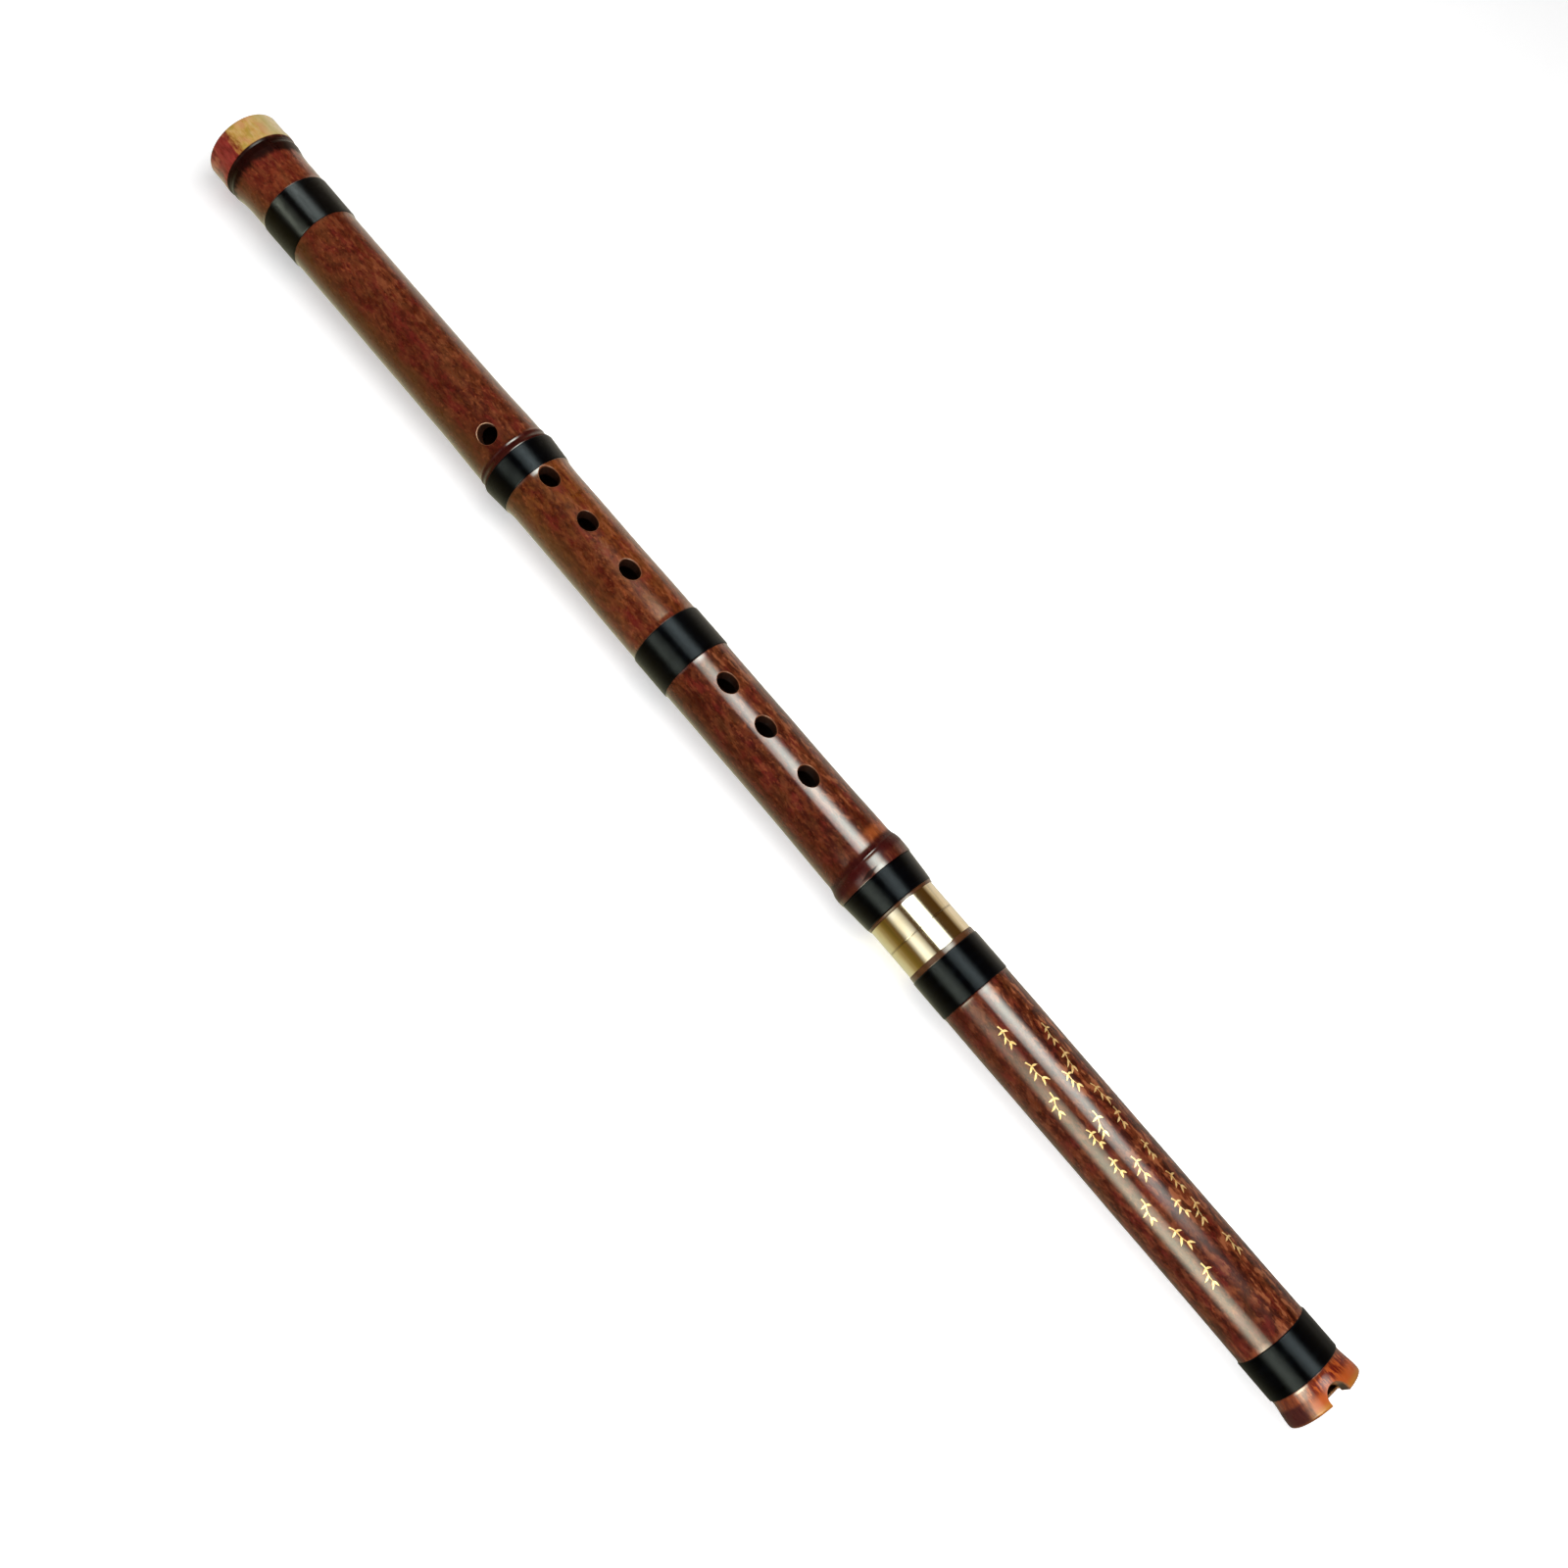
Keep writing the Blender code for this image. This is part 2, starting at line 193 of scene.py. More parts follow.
# The camera looks at the flute from this side, tilted from straight above towards -Y
CAMERA_TILT = math.radians(23)
FACING = Vector((0, -math.sin(CAMERA_TILT), math.cos(CAMERA_TILT)))
UPPER_RIGHT = Vector((0, math.cos(CAMERA_TILT), math.sin(CAMERA_TILT)))

WHITE = (1, 1, 1, 1)
BLACK = (0, 0, 0, 1)


def colour(red, green, blue):
    """A colour given on a 0 to 255 scale, as the shader needs it."""
    return tuple((part / 255) ** 2.2 for part in (red, green, blue)) + (1.0,)


# Shader nodes


class Wire:
    """A number, colour or vector that flows between shader nodes; sums and products add Math nodes."""

    def __init__(self, nodes, socket):
        self.nodes = nodes
        self.socket = socket

    def math(self, operation, *others):
        inputs = dict(enumerate((self, *others)))
        return self.nodes.node("ShaderNodeMath", {"operation": operation}, inputs)

    def __add__(self, other):
        return self.math("ADD", other)

    __radd__ = __add__

    def __sub__(self, other):
        return self.math("SUBTRACT", other)

    def __rsub__(self, other):
        return self.math("MULTIPLY_ADD", -1, other)

    def __mul__(self, other):
        return self.math("MULTIPLY", other)

    def __truediv__(self, other):
        return self.math("DIVIDE", other)

    def __abs__(self):
        return self.math("ABSOLUTE")

    def climb(self, low, high, shape="LINEAR"):
        """0 at low, 1 at high, and straight between; low may be the larger."""
        settings = {"interpolation_type": shape}
        inputs = {"Value": self, "From Min": low, "From Max": high}
        return self.nodes.node("ShaderNodeMapRange", settings, inputs)

    def rise(self, low, high):
        """0 below low, 1 above high, and eased between."""
        return self.climb(low, high, "SMOOTHSTEP")

    def fall(self, low, high):
        return 1 - self.rise(low, high)

    def band(self, low, high, edge):
        """1 between low and high, fading over the edge's width on either side."""
        return self.rise(low - edge, low) * self.fall(high, high + edge)


class Nodes:
    """A tree of shader nodes. node() makes any node; the rest are shorthands for it."""

    def __init__(self, tree):
        self.tree = tree

    def feed(self, socket, value):
        if isinstance(value, Wire):
            self.tree.links.new(value.socket, socket)
        else:
            socket.default_value = value

    def node(self, kind, settings, inputs, output=0):
        made = self.tree.nodes.new(kind)
        for name, value in settings.items():
            if name == "stops":
                self.set_stops(made.color_ramp.elements, value)
            else:
                setattr(made, name, value)
        for key, value in inputs.items():
            self.feed(made.inputs[key], value)
        return Wire(self, made.outputs[output])

    def set_stops(self, marks, stops):
        while len(marks) < len(stops):
            marks.new(0.5)
        for mark, (place, shade) in zip(marks, stops):
            mark.position = place
            mark.color = shade

    def parts(self, vector):
        return [self.node("ShaderNodeSeparateXYZ", {}, {0: vector}, axis) for axis in "XYZ"]

    def vector(self, x, y, z):
        return self.node("ShaderNodeCombineXYZ", {}, {0: x, 1: y, 2: z})

    def ray(self, kind):
        """1 for rays of one kind, such as Camera or Glossy, and 0 for others."""
        return self.node("ShaderNodeLightPath", {}, {}, "Is " + kind + " Ray")

    def mix(self, share, first, second, blend="MIX"):
        settings = {"data_type": "RGBA", "blend_type": blend}
        return self.node("ShaderNodeMix", settings, {0: share, 6: first, 7: second}, 2)

    def ramp(self, value, stops):
        """Colour by value, through stops of value and colour in rising order."""
        low = stops[0][0]
        span = stops[-1][0] - low
        scaled = [((place - low) / span, shade) for place, shade in stops]
        return self.node("ShaderNodeValToRGB", {"stops": scaled}, {0: (value - low) / span})

    def grey_ramp(self, value, stops):
        return self.ramp(value, [(place, (level, level, level, 1)) for place, level in stops])

    def glow(self, shade):
        return self.node("ShaderNodeEmission", {}, {"Color": shade, "Strength": 1.0})


class Look(Nodes):
    """One material, with places in millimetres along the flute, and to the side of its axis and above it."""

    def __init__(self, name):
        self.material = bpy.data.materials.new(name)
        self.material.use_nodes = True
        super().__init__(self.material.node_tree)
        self.shader = self.tree.nodes["Principled BSDF"]
        along, side, up = self.parts(self.node("ShaderNodeTexCoord", {}, {}, "Object"))
        self.along = (along + MIDDLE) * TO_MM
        self.side = side * TO_MM
        self.up = (up - AXIS_HEIGHT) * TO_MM

    def from_axis(self):
        return (self.side * self.side + self.up * self.up).math("SQRT")

    def grain(self, per_mm_along, per_mm_round, seed=0.0, detail=3.0, roughness=0.55):
        """Noise drawn out along the flute, from 0 to 1 about 0.5."""
        place = self.vector(
            self.along * per_mm_along + seed,
            self.side * per_mm_round + seed * 1.7,
            self.up * per_mm_round - seed,
        )
        inputs = {"Vector": place, "Scale": 1.0, "Detail": detail, "Roughness": roughness}
        return self.node("ShaderNodeTexNoise", {}, inputs)

    def stained_and_shaded(self, tint, *tint_layers):
        """Lays stains, and where called for painted shade and light, over a tint, each a share and a colour.
        """
        for share, tone in tint_layers:
            tint = self.mix(share, tint, colour(*tone))
        return tint

    def bump(self, height, depth, normal=None):
        """Relief of a height from 0 to 1 that stands for this depth in metres."""
        inputs = {"Strength": 1.0, "Distance": depth, "Height": height}
        if normal is not None:
            inputs["Normal"] = normal
        return self.node("ShaderNodeBump", {}, inputs)

    def set(self, **values):
        for name, value in values.items():
            self.feed(self.shader.inputs[name.replace("_", " ")], value)
        return self.material

    def show(self, first, second=None):
        """Makes the surface one shader, or the sum of two."""
        if second is not None:
            first = self.node("ShaderNodeAddShader", {}, {0: first, 1: second})
        self.feed(self.tree.nodes["Material Output"].inputs["Surface"], first)


# Materials

# Stain along the flute: place in mm, deep tone and light tone
STAIN = (
    (18, (94, 31, 27), (140, 54, 42)),
    (34, (98, 35, 25), (142, 70, 44)),
    (60, (86, 33, 23), (122, 63, 40)),
    (130, (80, 31, 21), (116, 61, 38)),
    (176, (70, 26, 19), (106, 53, 33)),
    (200, (78, 33, 19), (128, 74, 38)),
    (270, (80, 29, 20), (126, 66, 40)),
    (300, (64, 23, 15), (110, 55, 33)),
    (396, (64, 21, 14), (112, 53, 32)),
    (470, (70, 25, 16), (116, 57, 34)),
    (560, (70, 25, 17), (122, 58, 36)),
    (618, (66, 23, 16), (122, 57, 35)),
    (650, (150, 60, 30), (196, 104, 52)),
)
# Middle and reach in mm of the dark stain about each node, and its lean
NODE_STAINS = ((182.6, 3.6, 0.0), (396.0, 4.4, NODE_LEAN * TO_MM))
# Strips of filler between the brass and its bindings, in mm
FILLER_STRIPS = ((415.4, 417.2), (439.2, 442.0))


class BambooLook(Look):
    """The patches, mottle and fibres that all the stains of the lacquered bamboo share."""

    def __init__(self, name):
        super().__init__(name)
        across = self.side * (UPPER_RIGHT.y / COMMON_RADIUS_MM)
        self.across = across + self.up * (UPPER_RIGHT.z / COMMON_RADIUS_MM)
        self.patches = self.grain(0.030, 0.07, 3.0, 2.0)
        self.mottle = self.grain(0.16, 0.42, 11.0, 4.0, 0.6)
        self.fine = self.grain(0.80, 1.7, 23.0, 3.0, 0.6)
        self.fibres = self.grain(0.05, 3.4, 31.0, 2.0)

    def ragged(self, **shares):
        """The place across the flute, made ragged by shares of mottle and patches."""
        total = self.across
        for grain, share in shares.items():
            total = total + (getattr(self, grain) - 0.5) * share
        return total


def mottled_stain_and_lit_side(look):
    along = look.along
    deep = look.ramp(along, [(place, colour(*tone)) for place, tone, _ in STAIN])
    light = look.ramp(along, [(place, colour(*tone)) for place, _, tone in STAIN])
    blotches = look.grain(0.26, 0.52, 41.0, 3.0, 0.6)
    share = (look.mottle - 0.5) * 1.2 + (blotches - 0.5) * 0.8 + (look.patches - 0.5) * 0.6
    tint = look.mix(share.rise(-0.20, 0.24) * 0.80, deep, light)
    # Painted light: a lighter orange on the side towards the upper light, most between the lower node and the
    # middle binding
    painted_lit_side = look.ragged(mottle=1.2).rise(-0.05, 0.55) * (along.band(197, 280, 6) * 0.26 + 0.06)
    # Drifts of red and of olive, orange flecks, and darker spots, all only a little longer than wide
    red = look.grain(0.11, 0.24, 67.0, 3.0, 0.6)
    drifts = look.patches.rise(0.36, 0.60) * 0.7 + 0.25
    flecks = look.grain(0.42, 0.85, 47.0, 3.0, 0.6).rise(0.55, 0.66) * drifts
    spots = look.grain(0.36, 0.80, 59.0, 3.0, 0.6).rise(0.52, 0.68)
    tint = look.stained_and_shaded(
        tint,
        (painted_lit_side, (140, 74, 26)),
        (red.rise(0.50, 0.66) * 0.60, (112, 36, 33)),
        (red.fall(0.34, 0.48) * 0.36, (90, 56, 30)),
        (flecks * 0.62, (156, 84, 52)),
        (spots * 0.55, (44, 14, 12)),
        (look.fine.rise(0.42, 0.68) * 0.22, (40, 12, 10)),
    )
    lines = look.mix(look.fibres, colour(150, 150, 150), colour(255, 255, 255))
    return look.mix(0.16, tint, lines, "MULTIPLY")


def streaks_and_sides(look, tint):
    along = look.along
    # Wavy streaks of lighter and darker stain on the side towards the light
    waves = look.grain(0.20, 0.50, 53.0, 2.0, 0.5)
    strength = along.rise(180, 300) * 0.25 + along.rise(430, 470) * 0.45 + 0.45
    streaked = (look.ragged(patches=0.8).rise(0.10, 0.45) * 0.6 + 0.25) * strength
    # Painted shade on the side away from the light: olive on the foot section, dark maroon about the joint
    away = look.ragged(patches=0.4).fall(-0.75, -0.30)
    return look.stained_and_shaded(
        tint,
        (waves.rise(0.54, 0.64) * streaked, (150, 86, 56)),
        (waves.fall(0.36, 0.46) * streaked, (56, 18, 13)),
        (away * along.fall(215, 300) * 0.50, (94, 64, 36)),
        (away * along.band(310, 480, 30) * 0.42, (62, 20, 14)),
    )


def node_stain(look, tint):
    """Dark and purple-red about the rings of the nodes, with an orange patch before the upper one."""
    along = look.along
    across = look.across
    wander = (look.mottle - 0.5) * 1.6
    orange = along.band(388.4, 390.6, 3.2) * (across + look.mottle * 0.8).rise(0.5, 1.1) * look.mottle
    tint = look.stained_and_shaded(tint, (orange * 0.8, (176, 90, 44)))
    ringed = 0
    for middle, reach, lean in NODE_STAINS:
        ring = (abs(along - middle + across * lean) + wander).fall(reach * 0.5, reach)
        tint = look.stained_and_shaded(tint, (ring * 0.88, (50, 15, 19)))
        ringed = ring + ringed
    beside = (along + wander).band(396.5, 403.5, 1.2)
    # A dark bud scar between the upper node and its binding
    bud = (abs(across + 0.06) * 3.4 + abs(along - 400.9 + across * 1.6)).fall(0.7, 1.3)
    return look.stained_and_shaded(tint, (beside * 0.6, (62, 19, 20)), (bud * 0.9, (26, 9, 9))), ringed, bud


def mouth_stain_and_shade(look):
    """Thinner stain over yellow bamboo, with red streaks that run in from the binding, and painted shade on
    the lower side.
    """
    along = look.along
    red_runs = look.grain(0.14, 1.0, 71.0, 3.0, 0.6).rise(0.42, 0.52) * along.fall(642, 646)
    amber = look.mix(red_runs, colour(186, 88, 42), colour(104, 28, 20))
    brim = along.rise(646.6, 649.2) * (look.mottle * 0.8 + 0.5)
    # Painted shade: darker on the lower side, away from the light
    painted_shade = look.ragged(mottle=0.8).fall(-0.70, -0.20)
    # A darker, less glossy purple patch on the lower side near the end
    lower_dark_patch = look.ragged(mottle=0.6).fall(-0.66, -0.32) * along.band(643.5, 648.5, 1.6)
    tint_layers = ((brim, (190, 122, 50)), (painted_shade * 0.8, (94, 50, 36)), (lower_dark_patch * 0.92, (50, 24, 30)))
    return look.stained_and_shaded(amber, *tint_layers), lower_dark_patch


def foot_ring_stain(look):
    """Bare yellow bamboo above and dark red stain below."""
    mottle = look.mottle
    yellows = ((0.30, colour(188, 140, 62)), (0.50, colour(210, 168, 98)), (0.70, colour(216, 182, 122)))
    bare = look.ramp(mottle, yellows)
    warm = look.grain(0.13, 0.22, 61.0, 2.0)
    bare = look.stained_and_shaded(
        bare,
        (warm.rise(0.50, 0.62) * 0.6, (214, 150, 106)),
        (warm.fall(0.38, 0.50) * 0.6, (172, 142, 48)),
        (look.ragged(mottle=0.5).rise(0.50, 0.95) * 0.6, (206, 192, 140)),
        (look.ragged(mottle=0.6).fall(-0.42, 0.08) * 0.8, (190, 128, 34)),
    )
    low = look.mix(mottle.rise(0.3, 0.7), colour(104, 30, 30), colour(168, 66, 58))
    low = look.stained_and_shaded(low, (warm.rise(0.50, 0.60) * look.along.fall(5, 9) * 0.5, (206, 120, 84)))
    both = look.mix(look.ragged(patches=0.9, mottle=0.4).fall(-0.32, -0.16), bare, low)
    return look.stained_and_shaded(both, (look.fibres.rise(0.45, 0.7) * 0.12, (140, 100, 50)))


def lacquered_bamboo():
    look = BambooLook("lacquered_bamboo")
    along = look.along
    across = look.across
    mottle = look.mottle
    tint = streaks_and_sides(look, mottled_stain_and_lit_side(look))
    tint, ringed, bud = node_stain(look, tint)
    amber, lower_dark_patch = mouth_stain_and_shade(look)
    tint = look.mix(along.rise(637, 641) * 0.92, tint, amber)
    tint = look.mix(along.fall(12.6, 13.3), tint, foot_ring_stain(look))

    # The groove behind the foot ring is blackened
    soot = (along + (mottle - 0.5) * 4 - across * 1.6).band(13.0, 18.4, 3.0) * along.rise(12.7, 13.3)
    tint = look.stained_and_shaded(tint, (soot * 0.93, (22, 12, 12)))
    filler = 0
    for start, end in FILLER_STRIPS:
        filler = along.band(start, end, 0.2) + filler
    tint = look.mix(filler * 0.85, tint, look.mix(mottle, colour(56, 34, 20), colour(96, 64, 40)))

    # Dark rim where the stain has pooled against each binding, under thicker lacquer
    pooled = 0
    for binding in FOOT_BINDINGS + HEAD_BINDINGS:
        middle = (binding.start + binding.end) / 2 * TO_MM
        half = (binding.end - binding.start) / 2 * TO_MM
        beyond = abs(along - middle) - half
        tint = look.stained_and_shaded(tint, (beyond.fall(0.0, 1.3) * 0.45, (48, 16, 12)))
        pooled = beyond.fall(1.6, 2.8) + pooled

    ripple = look.grain(0.10, 0.42, 83.0, 1.0)
    relief = look.bump(look.fibres * 0.6 + look.fine * 0.4, 0.000010, look.bump(ripple, 0.00004))
    wear = look.grain(0.20, 0.35, 97.0, 3.0)
    coat = (0.82 + wear * 0.2 + pooled * 0.3) * (1 - soot * 0.85)
    coat = coat * (1 - along.rise(641.5, 644) * 0.5) * (1 - lower_dark_patch * 0.5)
    coat = coat * (1 - filler * 0.35) * (1 - bud * 0.8) * (1 - ringed * abs(across).rise(0.65, 0.9) * 0.75)
    look.set(Base_Color=tint, Roughness=wear.rise(0.25, 0.8) * 0.10 + 0.25, Coat_Weight=coat, Normal=relief)
    return look.set(Coat_Roughness=0.11, Coat_IOR=1.5, Specular_IOR_Level=0.08)


def bored_bamboo():
    """Walls of the bore and the holes: dark lacquer that has soaked into the fibres."""
    look = Look("bored_bamboo")
    fibres = look.grain(0.10, 2.6, 5.0, 3.0)
    layers = look.grain(1.2, 1.2, 9.0, 3.0)
    tint = look.mix(fibres.rise(0.35, 0.65), colour(44, 23, 16), colour(66, 36, 24))
    tint = look.mix(layers.rise(0.5, 0.7) * 0.4, tint, colour(84, 48, 30))
    distance = look.from_axis()
    tint = look.mix(distance.rise(14.4, 15.3) * 0.8, tint, colour(140, 86, 56))
    # Painted highlight: a pale crescent on the rim of the lowest hole, on its foot side
    painted_lip_highlight = look.along.band(167.0, 170.4, 1.2) * distance.rise(14.8, 15.4)
    tint = look.mix(painted_lip_highlight, tint, colour(200, 156, 122))
    relief = look.bump(fibres * 0.6 + layers * 0.4, 0.00006)
    look.set(Base_Color=tint, Roughness=layers * 0.2 + 0.30, Normal=relief)
    return look.set(Coat_Weight=0.3, Coat_Roughness=0.15)


def cut_bamboo():
    """End grain and the bevel of the notch: pale ground with the brown dots of the fibre bundles."""
    look = Look("cut_bamboo")
    distance = look.from_axis()
    inputs = {"Vector": look.vector(look.along * 0.15, look.side * 1.5, look.up * 1.5), "Scale": 1.0}
    bundles = look.node("ShaderNodeTexVoronoi", {"feature": "F1"}, inputs)
    dots = bundles.fall(0.18, 0.40) * (distance.rise(9.0, 15.0) * 0.7 + 0.3)
    mottle = look.grain(0.5, 0.5, 13.0, 3.0)
    tint = look.mix(mottle, colour(146, 88, 40), colour(184, 128, 66))
    tint = look.mix(dots * 0.75, tint, colour(92, 46, 22))
    tint = look.mix(distance.rise(13.8, 15.6) * 0.6, tint, colour(140, 70, 34))
    aside = look.side + look.up * math.tan(NOTCH_TURN)
    # Painted shade on the notch's upper wall, which faces the lower left
    painted_shade = aside.rise(2.8, 4.2) * distance.rise(9.2, 9.7) * distance.fall(14.6, 15.6)
    painted_shade = painted_shade * look.along.band(643.0, 649.7, 0.2)
    tint = look.mix(painted_shade * 0.9, tint, colour(36, 24, 18))
    look.set(Base_Color=tint, Roughness=mottle * 0.2 + 0.34, Normal=look.bump(dots, 0.00004))
    return look.set(Coat_Weight=0.35, Coat_Roughness=0.12)


def black_thread():
    look = Look("black_thread")
    turns = look.grain(2.6, 0.05, 7.0, 2.0)
    twist = look.grain(3.0, 2.2, 17.0, 2.0)
    pools = look.grain(0.12, 0.20, 29.0, 3.0)
    tint = look.mix(turns.rise(0.35, 0.7), colour(2, 4, 8), colour(7, 11, 16))
    tint = look.mix(twist.rise(0.6, 0.8) * 0.4, tint, colour(18, 22, 28))
    look.set(
        Base_Color=tint,
        Roughness=pools.rise(0.3, 0.7) * 0.06 + turns.rise(0.4, 0.7) * 0.06 + 0.10,
        Normal=look.bump(twist * 0.7 + turns * 0.3, 0.00001),
    )
    look.set(Coat_Weight=look.along.fall(50, 185) * 0.35)
    tinted = (0.80, 0.88, 1.0, 1.0)
    return look.set(Specular_IOR_Level=0.185, Specular_Tint=tinted, Coat_Roughness=0.12, Coat_IOR=1.5)


def polished_brass():
    look = Look("polished_brass")
    turning = look.grain(9.0, 0.04, 3.0, 3.0)
    touch = look.grain(0.12, 0.16, 19.0, 4.0)
    tint = look.mix(touch.rise(0.4, 0.7), colour(244, 232, 208), colour(240, 224, 192))
    gaps = abs(look.along - FOOT_LENGTH * TO_MM).fall(0.1, 0.9)
    ends = look.along.fall(415.9, 417.0) + look.along.rise(439.5, 440.2)
    tint = look.mix((gaps * 0.25 + ends * 0.6) * (touch * 0.8 + 0.3), tint, colour(132, 92, 40))
    relief = look.bump(turning, 0.0000012)
    look.set(Base_Color=tint, Roughness=touch * 0.07 + turning * 0.04 + 0.06, Normal=relief)
    return look.set(Metallic=1.0)


def tube_brass():
    """The sliding tube and its socket: duller brass, scored lengthwise by use."""
    look = Look("tube_brass")
    scores = look.grain(0.05, 3.0, 3.0, 3.0)
    touch = look.grain(0.10, 0.16, 19.0, 4.0)
    tint = look.mix(touch, colour(214, 176, 98), colour(176, 132, 66))
    tint = look.mix(scores.rise(0.58, 0.72) * 0.4, tint, colour(120, 84, 40))
    relief = look.bump(scores, 0.000004)
    look.set(Base_Color=tint, Roughness=touch * 0.14 + scores * 0.08 + 0.16, Normal=relief)
    return look.set(Metallic=1.0)


def gold_paint():
    look = Look("gold_paint")
    brush = look.grain(1.3, 1.3, 5.0, 3.0)
    tint = look.mix(brush.rise(0.3, 0.7), colour(216, 166, 92), colour(240, 212, 150))
    look.set(Base_Color=tint, Roughness=brush * 0.2 + 0.25, Normal=look.bump(brush, 0.00003))
    return look.set(Metallic=0.35, Coat_Weight=0.5, Coat_Roughness=0.06)


BAMBOO = lacquered_bamboo()
BORED = bored_bamboo()
CUT = cut_bamboo()
THREAD = black_thread()
BRASS = polished_brass()
TUBE_BRASS = tube_brass()
GOLD = gold_paint()


# The turned surface


def ease(share):
    share = min(max(share, 0.0), 1.0)
    return share * share * (3 - 2 * share)


def culm_radius(place):
    for (start, start_radius), (end, end_radius) in zip(CULM, CULM[1:]):
        if place <= end:
            return start_radius + (end_radius - start_radius) * ease((place - start) / (end - start))
    return CULM[-1][1]


def node_share(node, place):
    beyond = abs(place - node.place) - node.crest / 2
    return 1 - ease(beyond / (node.rise if place < node.place else node.fall))


def fillet_height(binding, before):
    """Height of the lacquer's fillet before or behind a binding; it is low before some of them."""
    at_head = binding in HEAD_BINDINGS
    if before and (at_head or "node" in binding.name):
        return LOW_FILLET
    return HEAD_FILLET if at_head else FOOT_FILLET


def turned_radius(place):
    """Radius of the bamboo with its nodes, the flared rim, and the fillets of lacquer beside bindings."""
    radius = culm_radius(place)
    for node in (FOOT_NODE, LOWER_NODE, UPPER_NODE):
        radius += (node.radius - radius) * node_share(node, place)
    flare = ease((place - (WHOLE_LENGTH - FLARE_LENGTH)) / (FLARE_LENGTH - MOUTH_ROUNDING))
    radius += (FLARE_RADIUS - radius) * flare
    start, end, depth = FOOT_GROOVE
    if start < place < end:
        share = (place - start) / (end - start)
        radius -= depth * min(1.0, GROOVE_WALLS[0] * share, GROOVE_WALLS[1] * (1 - share))
    for scar, height, width in SHEATH_SCARS:
        radius += height * math.exp(-(((place - scar) / width) ** 2))
    for binding in FOOT_BINDINGS + HEAD_BINDINGS:
        before = binding.start - SEAT_GAP - place
        away = max(before, place - binding.end - SEAT_GAP)
        if 0 <= away < FILLET_REACH:
            radius += fillet_height(binding, before >= 0) * (1 - away / FILLET_REACH) ** 2
    return radius


TABLE_STEP = 0.00005
TABLE_PLACES = np.arange(-0.001, WHOLE_LENGTH + 0.001, TABLE_STEP)
TABLE_RADII = np.array([turned_radius(place) for place in TABLE_PLACES])


def plain_radius(places):
    """The turned radius, read from the table, for one place or an array of them."""
    return np.interp(places, TABLE_PLACES, TABLE_RADII)


def unevenness(places, turns):
    """Shallow dips and swellings of grown bamboo, and the lean of the upper node's ring."""
    total = np.zeros_like(places)
    for length, lobes, phase, height in WAVES:
        total += height * np.sin(2 * math.pi * places / length + phase) * np.cos(lobes * turns + 2 * phase)
    aside = np.sin(turns) * UPPER_RIGHT.y + np.cos(turns) * UPPER_RIGHT.z
    shift = NODE_LEAN * aside * np.interp(places, LEANING, (0, 1, 1, 0))
    return total + plain_radius(places + shift) - plain_radius(places)


def surface_radius(places, turns):
    return plain_radius(places) + unevenness(places, turns)


def ring_step(place):
    """Step to the next ring of vertices: shorter where the outline bends sharply."""
    slope = turned_radius(place + BEND_REACH) - turned_radius(place)
    next_slope = turned_radius(place + 2 * BEND_REACH) - turned_radius(place + BEND_REACH)
    for bend, step in SHORT_STEPS:
        if abs(next_slope - slope) > bend:
            return step
    return RING_STEP


def outline_between(start, end):
    places = [start]
    while places[-1] < end - TINY_STEP:
        places.append(places[-1] + ring_step(places[-1]))
    places[-1] = end
    return [(place, plain_radius(place)) for place in places]


def stepped(start, end, radius, step=0.004):
    """A straight run of an outline in short steps, so that it takes finely spaced cuts well."""
    count = max(1, int(abs(end - start) / step))
    return [(start + (end - start) * index / count, radius) for index in range(count + 1)]


def rounded_corner(end, inward, radius, rounding, steps=6):
    outline = []
    for step in range(steps + 1):
        turn = math.pi / 2 * step / steps
        along = rounding * (1 - math.sin(turn))
        outline.append((end + inward * along, radius - rounding * (1 - math.cos(turn))))
    return outline


# Making meshes


def revolved(points, axis, sides, closed=False):
    """Spins an outline of points once round an axis through the origin."""
    builder = bmesh.new()
    verts = [builder.verts.new(point) for point in points]
    edges = [builder.edges.new(pair) for pair in zip(verts, verts[1:])]
    if closed:
        edges.append(builder.edges.new((verts[-1], verts[0])))
    bmesh.ops.spin(
        builder,
        geom=verts + edges,
        cent=(0, 0, 0),
        axis=axis,
        angle=2 * math.pi,
        steps=sides,
        use_merge=True,
    )
    bmesh.ops.remove_doubles(builder, verts=builder.verts, dist=1e-7)
    return builder


def spun(outline, closed=True, sides=SIDES):
    """Spins an outline of places and radii round the flute's axis."""
    builder = revolved([(place, 0, radius) for place, radius in outline], (1, 0, 0), sides, closed)
    bmesh.ops.recalc_face_normals(builder, faces=builder.faces)
    return builder


def to_object(name, builder, *materials):
    mesh = bpy.data.meshes.new(name)
    builder.to_mesh(mesh)
    builder.free()
    for material in materials:
        mesh.materials.append(material)
    mesh.shade_smooth()
    made = bpy.data.objects.new(name, mesh)
    bpy.context.scene.collection.objects.link(made)
    return made


def set_down(made):
    """Moves a finished piece from the flute's axis to where the flute lies."""
    made.data.transform(Matrix.Translation((-MIDDLE, 0, AXIS_HEIGHT)))
    made.data.update()


def vertex_array(mesh):
    flat = np.zeros(len(mesh.vertices) * 3)
    mesh.vertices.foreach_get("co", flat)
    return flat.reshape(-1, 3)


def polar(points):
    """Place, turn and radius of points, with the flute's axis along X through the origin."""
    return points[:, 0], np.arctan2(points[:, 1], points[:, 2]), np.hypot(points[:, 1], points[:, 2])


